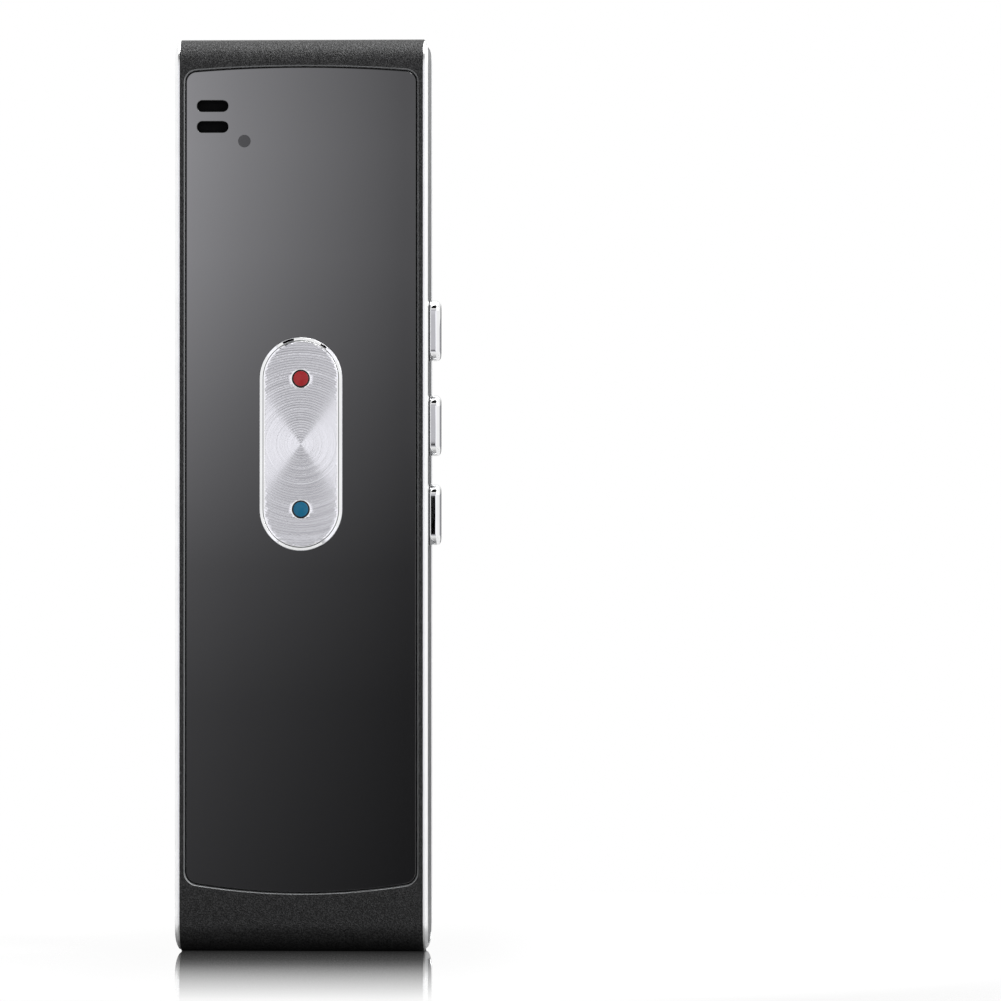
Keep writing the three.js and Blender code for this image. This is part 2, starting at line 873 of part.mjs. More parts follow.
function keyTrimRing() {
  const low = wallFront - keyFlangeRebate + seatGap;
  const flangeTop = panelBack - seatGap;
  const top = frontFace + keyRingProud;
  const shoulder = top - keyRingRounding;
  const outer = frontLoft([
    { outline: keyOutline(keyFlangeReach), level: low },
    { outline: keyOutline(keyFlangeReach), level: flangeTop },
    { outline: keyOutline(0), level: flangeTop },
    { outline: keyOutline(0), level: shoulder },
    { outline: keyOutline(-keyRingRounding), level: top },
  ]);
  const inner = frontLoft([
    { outline: keyOutline(-keyRingBand), level: low - cutOverrun },
    { outline: keyOutline(-keyRingBand), level: shoulder },
    { outline: keyOutline(keyRingRounding - keyRingBand), level: top },
    { outline: keyOutline(keyRingRounding - keyRingBand), level: top + cutOverrun },
  ]);
  return cut(outer, inner);
}

const dotPlaces = [
  { name: "red_dot", finish: "redDot", z: keyHeight + dotOffset },
  { name: "blue_dot", finish: "blueDot", z: keyHeight - dotOffset },
];

function rockerFace() {
  const grow = -keyRingBand - keyGap;
  const shoulder = keyFaceTop - keyRingRounding;
  const plate = frontLoft([
    { outline: keyOutline(grow), level: keyFaceBottom },
    { outline: keyOutline(grow), level: shoulder },
    { outline: keyOutline(grow - keyFaceChamfer), level: keyFaceTop },
  ]);
  const radius = dotDiameter / 2 + dotFit;
  const low = keyFaceBottom - cutOverrun;
  const holes = dotPlaces.map(({ z }) => frontDisc(radius, low, keyFaceTop + cutOverrun, 0, z));
  return cut(plate, ...holes);
}

function rockerBase() {
  const body = frontPrism(keyOutline(-keyRingBand - keyGap), keyBaseBottom, keyBaseTop);
  const hubRadius = pivotPinRadius + pivotRunningGap + hubWall;
  const half = hubWidth / 2;
  const hub = rod(hubRadius, -half, half, pivotLevel, keyHeight);
  const neck = block(
    [-half, half],
    [pivotLevel, keyBaseBottom + seatGap],
    [keyHeight - hubRadius, keyHeight + hubRadius],
  );
  const bore = rod(
    pivotPinRadius + pivotRunningGap,
    -half - cutOverrun,
    half + cutOverrun,
    pivotLevel,
    keyHeight,
  );
  return cut(join(body, hub, neck), bore);
}

function keyDot(z) {
  const radius = dotDiameter / 2;
  const low = keyBaseTop + seatGap;
  const rim = keyFaceTop - dotRecess;
  const crown = rim + dotDome;
  const shoulders = [];
  for (let i = 0; i < smallCornerSteps; i++) {
    const angle = (i / smallCornerSteps) * (Math.PI / 2);
    shoulders.push([radius * Math.cos(angle), rim + dotDome * Math.sin(angle)]);
  }
  return turned([[0, low], [radius, low], ...shoulders, [0, crown]], 0, z, roundSteps);
}

function pivotPin() {
  const reach = hubWidth / 2 + easyGap + earWidth - slideGap;
  return rod(pivotPinRadius, -reach, reach, pivotLevel, keyHeight);
}

function keySwitch(z) {
  const low = boardFront + seatGap;
  const half = keySwitchSize / 2;
  const outline = roundedOutline(keySwitchSize, keySwitchSize, stemRadius, { x: 0, y: z });
  const smaller = roundedOutline(
    keySwitchSize - 2 * chipEdge,
    keySwitchSize - 2 * chipEdge,
    stemRadius,
    { x: 0, y: z },
  );
  const body = frontLoft([
    { outline, level: low },
    { outline, level: low + keySwitchHeight - chipEdge },
    { outline: smaller, level: low + keySwitchHeight },
  ]);
  const well = frontDisc(
    plungerRadius + plungerWellGap,
    low + switchFloor,
    low + keySwitchHeight + half,
    0,
    z,
  );
  return cut(body, well);
}

function keySwitchPlunger(z) {
  const top = keyBaseBottom - plungerContactGap;
  return frontDisc(plungerRadius, top - plungerDepth, top, 0, z);
}

// Side frames, inserts and buttons

// The space that the side pieces may fill: its ends curve in towards the shell.
function endRelief(reach) {
  const outline = roundedOutline(
    2 * reach,
    bodyHeight - 2 * frameInset,
    { x: reach - shellSide, y: frameEndRelief },
    { x: 0, y: bodyHeight / 2 },
    cornerSteps,
  );
  return frontPrism(outline, rearFace - cutOverrun, frontFace + cutOverrun);
}

function sideFrame(side) {
  const seat = shellSide + seatGap;
  const lipTop = seat + insertLipThickness + seatGap;
  const opening = frameInset + frameBand;
  const rebate = opening - insertLip;
  const outer = sideLoft(
    [
      { outline: profileOutline(frameInset), level: seat },
      { outline: profileOutline(frameInset), level: frameSide - frameChamfer },
      { outline: profileOutline(frameInset + frameChamfer), level: frameSide },
    ],
    side,
  );
  const inner = sideLoft(
    [
      { outline: profileOutline(rebate), level: seat - cutOverrun },
      { outline: profileOutline(rebate), level: lipTop },
      { outline: profileOutline(opening), level: lipTop },
      { outline: profileOutline(opening), level: frameSide + cutOverrun },
    ],
    side,
  );
  return cut(outer, inner).intersect(endRelief(frameSide));
}

function sideInsert(side) {
  const seat = shellSide + seatGap;
  const lipTop = seat + insertLipThickness;
  const face = frameInset + frameBand + insertGap;
  const lip = face - insertLip;
  const top = frameSide - insertSetback;
  const plate = sideLoft(
    [
      { outline: profileOutline(lip), level: seat },
      { outline: profileOutline(lip), level: lipTop },
      { outline: profileOutline(face), level: lipTop },
      { outline: profileOutline(face), level: top },
    ],
    side,
  );
  return join(plate, ...sidePegs(side, 0)).intersect(endRelief(top));
}

function buttonSlots() {
  const width = buttonWidth + 2 * slideGap;
  const length = buttonLength + 2 * slideGap;
  return buttonHeights.map((z) => {
    const middle = { x: 0, y: z };
    const radius = buttonRadius + slideGap;
    const outline = roundedOutline(width, length, radius, middle, buttonCornerSteps);
    return sidePrism(outline, shellSide - cutOverrun, frameSide + cutOverrun);
  });
}

function sideButton() {
  const flangeTop = shellSide + seatGap - buttonFlangeGap;
  const flangeBack = flangeTop - buttonFlangeThickness;
  const stemTip = innerSide - stemReach;
  const shoulder = buttonSide - buttonCrown;
  const outline = (width, length, radius) =>
    roundedOutline(width, length, radius, { x: 0, y: 0 }, buttonCornerSteps);
  const cap = (inset) =>
    outline(buttonWidth - 2 * inset, buttonLength - 2 * inset, buttonRadius - inset);
  const flange = outline(buttonWidth, buttonLength + 2 * buttonFlangeReach, buttonRadius);
  const stem = outline(stemWidth, stemLength, stemRadius);
  const crown = [];
  for (let i = 0; i <= smallCornerSteps; i++) {
    const angle = (i / smallCornerSteps) * (Math.PI / 2);
    const inset = buttonCrown * (1 - Math.cos(angle));
    crown.push({ outline: cap(inset), level: shoulder + buttonCrown * Math.sin(angle) });
  }
  return sideLoft([
    { outline: stem, level: stemTip },
    { outline: stem, level: flangeBack },
    { outline: flange, level: flangeBack },
    { outline: flange, level: flangeTop },
    { outline: cap(0), level: flangeTop },
    ...crown,
  ]);
}

function sideSwitch() {
  const near = innerSide - stemReach - sideSwitchSetback;
  const far = near - sideSwitchDepth;
  const low = boardBack - seatGap - sideSwitchHeight;
  const middle = { x: -(low + sideSwitchHeight / 2), y: 0 };
  const outline = roundedOutline(sideSwitchHeight, sideSwitchLength, stemRadius, middle);
  const body = sidePrism(outline, far, near);
  const radius = plungerRadius + plungerWellGap;
  return cut(body, rod(radius, near - sideSwitchWell, near + cutOverrun, 0, 0));
}

function sideSwitchPlunger() {
  const near = innerSide - stemReach - sideSwitchSetback;
  const from = near - sideSwitchWell + sideSwitchWellRoom;
  const to = innerSide - stemReach - stemContactGap;
  return rod(plungerRadius, from, to, 0, 0);
}

// Board and what it carries

function boardOutline() {
  const shoulder = boardSide - boardNotchWidth;
  const notchTop = boardBottom + boardNotchHeight;
  const round = { x: boardCornerRadius, y: boardCornerRadius };
  const corner = (x, z, start) => {
    const middle = {
      x: x - Math.sign(x) * boardCornerRadius,
      y: z + (start < Math.PI ? -1 : 1) * boardCornerRadius,
    };
    return arcPoints(middle, round, start, start + Math.PI / 2, smallCornerSteps);
  };
  return [
    ...corner(boardSide, boardTop, 0),
    ...corner(-boardSide, boardTop, Math.PI / 2),
    ...corner(-boardSide, notchTop, Math.PI),
    new THREE.Vector2(-shoulder, notchTop),
    ...corner(-shoulder, boardBottom, Math.PI),
    ...corner(shoulder, boardBottom, (3 * Math.PI) / 2),
    new THREE.Vector2(shoulder, notchTop),
    ...corner(boardSide, notchTop, (3 * Math.PI) / 2),
  ];
}

function mainBoard() {
  const from = boardBack - cutOverrun;
  const to = boardFront + cutOverrun;
  const postHoles = housingScrewPlaces.map(({ x, z }) =>
    frontDisc(postRadius + easyGap, from, to, x, z),
  );
  const boltHoles = boardScrewPlaces.map(({ x, z }) =>
    frontDisc(housingScrewRadius + boltRoom, from, to, x, z, screwSteps),
  );
  return cut(frontPrism(boardOutline(), boardBack, boardFront), ...postHoles, ...boltHoles);
}

// A chip with a bevelled top, on the front of the board or, when behind, on its back.
function chip(size, place, behind = false) {
  const outline = (inset) =>
    roundedOutline(size.width - 2 * inset, size.height - 2 * inset, chipEdge, {
      x: place.x,
      y: place.z,
    });
  if (behind) {
    const high = boardBack - seatGap;
    return frontLoft([
      { outline: outline(chipEdge), level: high - size.thickness },
      { outline: outline(0), level: high - size.thickness + chipEdge },
      { outline: outline(0), level: high },
    ]);
  }
  const low = boardFront + seatGap;
  return frontLoft([
    { outline: outline(0), level: low },
    { outline: outline(0), level: low + size.thickness - chipEdge },
    { outline: outline(chipEdge), level: low + size.thickness },
  ]);
}

function microphoneBoot() {
  const low = boardFront + 2 * seatGap + microphoneSize.thickness;
  const high = wallBack - seatGap;
  const { x, z } = micPlace;
  return cut(
    frontDisc(microphoneBootRadius, low, high, x, z),
    frontDisc(micPortRadius, low - cutOverrun, high + cutOverrun, x, z),
  );
}

// Speaker: its levels run from the mesh on the rear wall towards the board

const speakerMeshTop = rearInside + seatGap + speakerMeshThickness;
const gasketTop = speakerMeshTop + seatGap + speakerGasketThickness;
const speakerBack = gasketTop + seatGap;
const speakerFloor = speakerBack + speakerDepth;

function speakerMesh() {
  return frontDisc(
    speakerRadius,
    rearInside + seatGap,
    speakerMeshTop,
    0,
    grilleHeight,
    speakerSteps,
  );
}

function speakerGasket() {
  const centre = { x: 0, y: grilleHeight };
  return ring(
    circleOutline(speakerRadius, speakerSteps, centre),
    circleOutline(speakerRadius - speakerGasketWidth, speakerSteps, centre),
    speakerMeshTop + seatGap,
    gasketTop,
  );
}

function speakerBasket() {
  const cup = speakerRadius - speakerFlangeWidth;
  const throat = cup - speakerWall;
  const rim = speakerRadius - speakerLedge;
  const ledge = speakerBack + speakerFlangeThickness / 2;
  const profile = [
    [0, speakerFloor - speakerWall],
    [throat, speakerFloor - speakerWall],
    [throat, ledge],
    [rim, ledge],
    [rim, speakerBack],
    [speakerRadius, speakerBack],
    [speakerRadius, speakerBack + speakerFlangeThickness],
    [cup, speakerBack + speakerFlangeThickness],
    [cup, speakerFloor],
    [0, speakerFloor],
  ];
  return turned(profile, 0, grilleHeight, speakerSteps);
}

function speakerCone() {
  const edge = speakerRadius - speakerLedge - pocketGap;
  const fold = speakerRadius - speakerFlangeWidth - speakerWall - pocketGap;
  const dome = speakerRadius * speakerDomeShare;
  const high = speakerBack + speakerFlangeThickness / 2 - seatGap;
  const low = high - speakerConeThickness;
  const deep = high + speakerDepth / 2 - speakerWall;
  const profile = [
    [0, low],
    [dome / 2, low + speakerConeThickness],
    [dome, deep - speakerConeThickness],
    [fold, low],
    [edge, low],
    [edge, high],
    [fold, high],
    [dome, deep],
    [dome / 2, high + speakerConeThickness],
    [0, high],
  ];
  return turned(profile, 0, grilleHeight, speakerSteps);
}

function speakerMagnet() {
  const radius = speakerRadius * speakerMagnetShare;
  const low = speakerFloor + seatGap;
  const high = boardBack - speakerBoardRoom;
  return frontDisc(radius, low, high, 0, grilleHeight, speakerSteps);
}

// Battery, its tape, connector and leads

const tapeTop = rearInside + seatGap + batteryTapeThickness;
const batteryFront = boardBack - batteryBoardRoom;

function batteryOutline(inset) {
  const height = batteryTop - batteryBottom - 2 * inset;
  const middle = { x: 0, y: (batteryTop + batteryBottom) / 2 };
  return roundedOutline(2 * (batterySide - inset), height, batteryRadius, middle);
}

function battery() {
  const low = tapeTop + seatGap;
  return frontLoft([
    { outline: batteryOutline(batteryRadius / 2), level: low },
    { outline: batteryOutline(0), level: low + batteryRadius / 2 },
    { outline: batteryOutline(0), level: batteryFront - batteryRadius / 2 },
    { outline: batteryOutline(batteryRadius / 2), level: batteryFront },
  ]);
}

function batteryTape() {
  return frontPrism(batteryOutline(batteryTapeMargin), rearInside + seatGap, tapeTop);
}

const connectorPlace = {
  x: connectorFromSide - innerSide,
  z: batteryTop + connectorAboveBattery + connectorLength / 2,
};

function batteryConnector() {
  const size = {
    width: connectorWidth,
    height: connectorLength,
    thickness: connectorDepth,
  };
  return chip(size, connectorPlace, true);
}

// A lead from the end of the battery to the lower side of its connector.
function batteryLead(side) {
  const x = connectorPlace.x + (side * leadSpacing) / 2;
  const start = (batteryFront + tapeTop) / 2;
  const finish = boardBack - seatGap - connectorDepth / 2;
  const low = batteryTop + easyGap;
  const high = connectorPlace.z - connectorLength / 2 - easyGap;
  const bend = (high - low) / 2;
  const path = new THREE.CubicBezierCurve3(
    new THREE.Vector3(x, -start, low),
    new THREE.Vector3(x, -start, low + bend),
    new THREE.Vector3(x, -finish, high - bend),
    new THREE.Vector3(x, -finish, high),
  );
  const section = new THREE.Shape(circleOutline(leadRadius, leadSides));
  return solidOf(
    new THREE.ExtrudeGeometry(section, {
      steps: leadSteps,
      bevelEnabled: false,
      extrudePath: path,
    }),
  );
}

// Charging port

function portShell() {
  const end = portRecess + portLength;
  return cut(
    solidOf(prismGeometry(portOutline(0), portRecess, end)),
    solidOf(prismGeometry(portOutline(-portWall), portRecess - cutOverrun, end + cutOverrun)),
  );
}

function portTongue() {
  const end = portRecess + portLength;
  const block = solidOf(
    prismGeometry(portOutline(-portWall - seatGap), end - portBackWall, end),
  );
  const tongue = roundedOutline(portTongueWidth, portTongueThickness, chipEdge, {
    x: 0,
    y: -portLevel,
  });
  const from = portRecess + portTongueRecess;
  return join(block, solidOf(prismGeometry(tongue, from, end - portBackWall + seatGap)));
}

// Screws: head up at level zero, with a round driving hole
function screw(length, headRadius, headHeight) {
  const profile = [
    [0, -length],
    [housingScrewRadius, -length],
    [housingScrewRadius, 0],
    [headRadius, 0],
    [headRadius, headHeight],
    [screwDriveRadius, headHeight],
    [screwDriveRadius, headHeight - screwDriveDepth],
    [0, headHeight - screwDriveDepth],
  ];
  return turned(profile, 0, 0, screwSteps);
}

function addScrews() {
  const housingScrew = screw(
    housingScrewLength,
    housingScrewHeadRadius,
    housingScrewHeadHeight,
  );
  const seat = wallFront - housingScrewHeadDepth + seatGap;
  housingScrewPlaces.forEach(({ x, z }, i) => {
    addPiece(`housing_screw_${i + 1}`, housingScrew, "steel", root, { x, y: -seat, z });
  });
  const boardScrew = screw(boardScrewLength, boardScrewHeadRadius, boardScrewHeadHeight);
  boardScrewPlaces.forEach(({ x, z }, i) => {
    const mesh = addPiece(`board_screw_${i + 1}`, boardScrew, "steel");
    mesh.rotation.z = Math.PI;
    mesh.position.set(x, -boardBack + seatGap, z);
  });
}

// Adds

function addHousings() {
  addPiece("front_housing", frontHousing(), "shell");
  addPiece("rear_housing", rearHousing(), "shell");
  addPiece("left_side_frame", sideFrame(-1), "silver");
  addPiece("right_side_frame", sideFrame(1), "silver");
  addPiece("left_side_insert", sideInsert(-1), "insert");
  addPiece("right_side_insert", cut(sideInsert(1), ...buttonSlots()), "insert");
}

function addPanel() {
  addPiece("front_panel", frontPanel(), "glass");
  addPiece("panel_adhesive", panelAdhesive(), "adhesive");
  addPiece("microphone_mesh", microphoneMesh(), "mesh");
  addPiece("indicator_lens", indicatorLens(), "lens");
}

function addKey() {
  addPiece("key_trim_ring", keyTrimRing(), "chrome");
  addPiece("rocker_base", rockerBase(), "darkPlastic");
  addPiece("rocker_face", rockerFace(), "keyFace");
  dotPlaces.forEach(({ name, finish, z }) => addPiece(name, keyDot(z), finish));
  addPiece("rocker_pivot_pin", pivotPin(), "steel");
  addPiece("red_key_switch", keySwitch(keyHeight + dotOffset), "darkPlastic");
  addPiece("blue_key_switch", keySwitch(keyHeight - dotOffset), "darkPlastic");
  addPiece("red_switch_plunger", keySwitchPlunger(keyHeight + dotOffset), "connector");
  addPiece("blue_switch_plunger", keySwitchPlunger(keyHeight - dotOffset), "connector");
}

function addSideButtons() {
  const names = ["upper", "middle", "lower"];
  buttonHeights.forEach((z, i) => {
    const place = { x: 0, y: 0, z };
    addPiece(`${names[i]}_side_button`, sideButton(), "chrome", root, place);
    addPiece(`${names[i]}_side_switch`, sideSwitch(), "darkPlastic", root, place);
    addPiece(`${names[i]}_switch_plunger`, sideSwitchPlunger(), "connector", root, place);
  });
}

// A place in the room between the charging port and the lower key switch.
function chipRoomPlace(x, share) {
  const low = portRecess + portLength;
  const high = keyHeight - dotOffset - keySwitchSize / 2;
  return { x, z: low + share * (high - low) };
}

function addElectronics() {
  const shieldPlace = chipRoomPlace(0, shieldRoomShare);
  const memoryPlace = chipRoomPlace(memoryAcross, memoryRoomShare);
  const chargerPlace = chipRoomPlace(chargerAcross, chargerRoomShare);
  const amplifierTop = grilleHeight - speakerRadius - amplifierBelowSpeaker;
  const amplifierPlace = { x: 0, z: amplifierTop - amplifierSize.height / 2 };
  addPiece("main_board", mainBoard(), "board");
  addPiece("processor_shield", chip(shieldSize, shieldPlace), "steel");
  addPiece("memory_chip", chip(memorySize, memoryPlace), "chip");
  addPiece("charger_chip", chip(chargerSize, chargerPlace), "chip");
  addPiece("amplifier_chip", chip(amplifierSize, amplifierPlace, true), "chip");
  addPiece("microphone", chip(microphoneSize, micPlace), "steel");
  addPiece("microphone_boot", microphoneBoot(), "rubber");
  addPiece("indicator_led", chip(ledSize, indicatorPlace), "ledBody");
  addPiece("usb_shell", portShell(), "steel");
  addPiece("usb_tongue", portTongue(), "darkPlastic");
}

function addSpeaker() {
  addPiece("speaker_mesh", speakerMesh(), "mesh");
  addPiece("speaker_gasket", speakerGasket(), "rubber");
  addPiece("speaker_basket", speakerBasket(), "steel");
  addPiece("speaker_cone", speakerCone(), "cone");
  addPiece("speaker_magnet", speakerMagnet(), "steel");
}

function addBattery() {
  addPiece("battery", battery(), "cell");
  addPiece("battery_tape", batteryTape(), "tape");
  addPiece("battery_connector", batteryConnector(), "connector");
  addPiece("battery_lead_red", batteryLead(1), "redLead");
  addPiece("battery_lead_black", batteryLead(-1), "blackLead");
}

addHousings();
addPanel();
addKey();
addSideButtons();
addElectronics();
addSpeaker();
addBattery();
addScrews();

export default root;
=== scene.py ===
"""The looks of the handheld translator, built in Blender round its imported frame.

Outlines are lists of (across, up) points. A front piece is drawn in x and z and built up in levels,
which are distances in front of the body's middle plane. A side piece is drawn in y and z and built
outwards from the middle, and an end piece is drawn in x and y and built upwards.
"""

import json
import math

import bmesh
import bpy
from bpy.props import FloatProperty
from bpy.props import FloatVectorProperty
from bpy.props import IntProperty
from bpy.props import PointerProperty
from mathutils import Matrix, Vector


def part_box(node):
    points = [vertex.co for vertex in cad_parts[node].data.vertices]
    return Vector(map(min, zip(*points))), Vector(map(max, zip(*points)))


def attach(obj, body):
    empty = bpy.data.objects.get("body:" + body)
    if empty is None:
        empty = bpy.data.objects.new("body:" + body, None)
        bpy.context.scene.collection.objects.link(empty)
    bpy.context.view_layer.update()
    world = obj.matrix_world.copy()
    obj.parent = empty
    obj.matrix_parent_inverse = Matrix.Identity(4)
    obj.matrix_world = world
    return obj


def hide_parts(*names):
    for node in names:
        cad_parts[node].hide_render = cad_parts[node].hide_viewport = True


bl_info = {
    "name": "Handheld Translator",
    "version": (1, 0, 0),
    "blender": (4, 5, 0),
    "location": "3D View > Sidebar > Translator",
    "description": "Builds the finished look of a slim handheld translator round its frame",
    "category": "Object",
}

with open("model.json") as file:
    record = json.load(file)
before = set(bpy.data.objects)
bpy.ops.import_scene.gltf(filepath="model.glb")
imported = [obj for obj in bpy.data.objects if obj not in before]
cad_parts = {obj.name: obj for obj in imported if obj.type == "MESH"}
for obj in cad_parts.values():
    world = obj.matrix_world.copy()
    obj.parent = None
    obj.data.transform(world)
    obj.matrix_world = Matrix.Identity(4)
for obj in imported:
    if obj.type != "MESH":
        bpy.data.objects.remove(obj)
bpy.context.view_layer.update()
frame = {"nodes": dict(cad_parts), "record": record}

# Units and fits
MM = 0.001
WELD = 0.0000002  # points closer than this are merged
OVERRUN = 1.0 * MM  # how far a cutter reaches past what it cuts
SEAT_GAP = 0.02 * MM  # between pieces that lie against each other
PIN_GAP = 0.03 * MM  # round the pin of the key
SLIDE_GAP = 0.12 * MM  # between pieces that slide in each other
DROP_GAP = 0.15 * MM  # round pieces that drop into their places
TIP_GAP = 0.2 * MM  # past the tips of the screws
SMOOTH_ANGLE = math.radians(32)

# Sizes that two or more pieces share
FLANGE_DEPTH = 0.5 * MM  # of the rebates under the glass, for the ring and the lens
SOUND_PORT = 1.6 * MM
HOUSING_HEAD = 0.75 * MM  # height of the heads of the housing screws
PLATE_TUCK = 0.4 * MM  # how far each side plate reaches under its frame
FRAME_LIP = 0.3 * MM  # height of the space under each frame
BUTTON_LENGTH = 9.4 * MM
BUTTON_WELL = 1.16 * MM  # depth of the wells that the side buttons slide in
STEM_WIDTH = 1.6 * MM
STEM_LENGTH = 3.2 * MM
STEM_CORNER = 0.3 * MM
LINES_PER_GROOVE = 5  # fine turning lines in each groove of the key

# Steps of arcs and turned pieces
PROFILE_STEPS = 18
CORNER_STEPS = 10
SMALL_STEPS = 6
EDGE_STEPS = 36
HALF_TURN_STEPS = 36
ROUND_STEPS = 48
HOLE_STEPS = 16


# What the frame gives


def low(node):
    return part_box(node)[0]


def high(node):
    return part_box(node)[1]


def size(node):
    return high(node) - low(node)


def middle(node):
    return (high(node) + low(node)) / 2


def front_level(node):
    """How far a node reaches in front of the body's middle plane."""
    return -low(node).y


def back_level(node):
    return -high(node).y


def front_centre(node):
    """The middle of a node seen from the front, as the outlines of the front pieces need it."""
    return (middle(node).x - CENTRE_X, middle(node).z)


CENTRE_X = middle("front_panel").x
BODY_HEIGHT = size("front_housing").z
BODY_THICKNESS = high("rear_housing").y - low("front_housing").y
SHELL_SIDE = size("front_housing").x / 2
FRONT_FACE = front_level("front_housing")
REAR_FACE = back_level("rear_housing")
PARTING = back_level("front_housing")
SEAT = back_level("panel_adhesive") - SEAT_GAP
PANEL_BACK = back_level("front_panel")
FRAME_SIDE = high("right_side_frame").x - CENTRE_X
BUTTON_SIDE = high("upper_side_button").x - CENTRE_X
KEY_HEIGHT = middle("rocker_face").z
GRILLE_HEIGHT = middle("speaker_mesh").z
REAR_INSIDE = back_level("speaker_mesh") - SEAT_GAP
PIVOT_LEVEL = -middle("rocker_pivot_pin").y
BUTTONS = ("upper", "middle", "lower")
HOUSING_SCREWS = tuple(f"housing_screw_{i}" for i in range(1, 7))
BOARD_SCREWS = tuple(f"board_screw_{i}" for i in range(1, 5))
DOTS = ("red_dot", "blue_dot")


# Sizes and colours that a user would change


def measure(name, description, default):
    return FloatProperty(name=name, description=description, default=default, unit="LENGTH")


def colour(name, description, default):
    return FloatVectorProperty(
        name=name,
        description=description,
        default=default,
        size=3,
        min=0.0,
        max=1.0,
        subtype="COLOR",
    )


class HousingSizes(bpy.types.PropertyGroup):
    """Sizes of the two housings and of the seat for the glass."""

    end_radius: measure("End radius", "Radius of the rounding at the top and bottom ends", 4.3 * MM)
    side_wall: measure("Side wall", "Thickness of the walls behind the side plates", 2.0 * MM)
    end_wall: measure("End wall", "Thickness of the walls at the two ends", 1.4 * MM)
    front_wall: measure("Front wall", "Thickness of the wall under the glass", 1.2 * MM)
    rim_chamfer: measure("Rim chamfer", "Width of the bright chamfer round the glass", 0.2 * MM)
    panel_gap: measure("Panel gap", "Gap between the glass and the housing", 0.2 * MM)
    screw_post: measure(
        "Screw post radius", "Radius of the posts that take the housing screws", 1.8 * MM
    )
    board_post: measure("Board post radius", "Radius of the posts that carry the board", 1.7 * MM)
    screw_radius: measure("Screw radius", "Radius of the shank of every screw", 0.6 * MM)


class GrilleSizes(bpy.types.PropertyGroup):
    """Sizes of the perforated grille in the rear housing."""

    pitch: measure("Pitch", "Distance between two holes of the grille", 2.74 * MM)
    hole_radius: measure("Hole radius", "Radius of each hole", 0.55 * MM)
    rim_width: measure("Rim width", "Width of the bright countersunk rim of each hole", 0.1 * MM)
    rows: IntProperty(
        name="Rows",
        description="Number of rows and columns before the corners are left out",
        default=10,
    )
    reach: FloatProperty(
        name="Reach",
        description="Distance from the centre past which no hole is made, in pitches",
        default=5.4,
    )


class GlassSizes(bpy.types.PropertyGroup):
    """Sizes of the glass panel and its openings."""

    top_rise: measure("Top rise", "How far the top edge bows upwards", 0.75 * MM)
    bottom_rise: measure("Bottom rise", "How far the bottom edge bows downwards", 1.6 * MM)
    top_radius: measure("Top corner radius", "Radius of the two upper corners", 1.6 * MM)
    bottom_radius: measure("Bottom corner radius", "Radius of the two lower corners", 1.8 * MM)
    edge_round: measure(
        "Edge rounding", "Width of the polished edge of the glass and its openings", 0.07 * MM
    )
    slot_length: measure("Slot length", "Length of each of the two sound slots", 4.77 * MM)
    slot_height: measure("Slot height", "Height of each sound slot", 1.7 * MM)
    slot_pitch: measure("Slot pitch", "Distance between the two sound slots", 3.2 * MM)
    window_diameter: measure("Window diameter", "Diameter of the round indicator window", 1.88 * MM)


class KeySizes(bpy.types.PropertyGroup):
    """Sizes of the rocker key and its trim ring."""

    ring_flange: measure(
        "Ring flange", "How far the hidden flange of the ring reaches outwards", 0.8 * MM
    )
    ring_band: measure("Ring band", "Visible width of the trim ring", 0.46 * MM)
    ring_round: measure("Ring rounding", "Rounding of the ring's two edges", 0.05 * MM)
    ring_slope: FloatProperty(
        name="Ring slope",
        description="Slope of the polished faces of the ring and of the key's edge",
        default=math.radians(12.5),
        unit="ROTATION",
    )
    face_edge: measure("Face edge", "Width of the polished edge of the key", 0.25 * MM)
    groove_pitch: measure("Groove pitch", "Distance between the spun grooves of the key", 0.38 * MM)
    groove_depth: measure("Groove depth", "Depth of the spun grooves of the key", 0.024 * MM)
    dot_gap: measure("Dot gap", "Gap between each enamel dot and its hole", 0.1 * MM)
    dot_round: measure("Dot rounding", "Radius of the rounded edge of each dot", 0.28 * MM)
    dot_rim: measure("Dot rim", "Width of the bright chamfer round each dot", 0.16 * MM)


class SideSizes(bpy.types.PropertyGroup):
    """Sizes of the silver frames, their plates and the side buttons."""

    inset: measure(
        "Frame inset", "How far the frames stand in from the outline of the housing", 0.2 * MM
    )
    band: measure("Frame band", "Width of the silver band round each plate", 1.0 * MM)
    chamfer: measure("Frame chamfer", "Width of the bright chamfer of the frames", 0.45 * MM)
    end_relief: measure(
        "End relief",
        "Height over which the frames curve in towards the housing at each end",
        2.8 * MM,
    )
    plate_gap: measure("Plate gap", "Gap between each plate and its frame", 0.1 * MM)
    button_crown: measure(
        "Button crown", "Rounding of the outer edge of the side buttons", 0.75 * MM
    )
    button_support: measure(
        "Button support",
        "Height of the rows that keep the reflections in a button's straight wall flat",
        0.03 * MM,
    )
    # Painted shade: a dark band at the foot of each side button stands in for the shadow of its
    # slot.
    button_foot: measure(
        "Button foot", "Height of the dark sleeve at the foot of a side button", 0.18 * MM
    )
    button_radius: measure("Button radius", "Corner radius of the side buttons", 1.75 * MM)


class FinishColours(bpy.types.PropertyGroup):
    """Colours of the visible finishes."""

    shell: colour("Shell", "Blasted dark metal of the housings", (0.0292, 0.0293, 0.0296))
    silver: colour("Silver", "Satin silver of the side frames", (0.92, 0.923, 0.926))
    plate: colour("Side plate", "Grey speckled metal of the side plates", (0.16, 0.163, 0.166))
    key: colour("Key", "Spun metal of the key", (0.77, 0.77, 0.785))
    red: colour("Red dot", "Red enamel of the upper dot", (0.43, 0.022, 0.026))
    blue: colour("Blue dot", "Blue enamel of the lower dot", (0.006, 0.15, 0.28))
    glass: colour("Glass", "Black behind the glass", (0.0022, 0.0023, 0.0026))


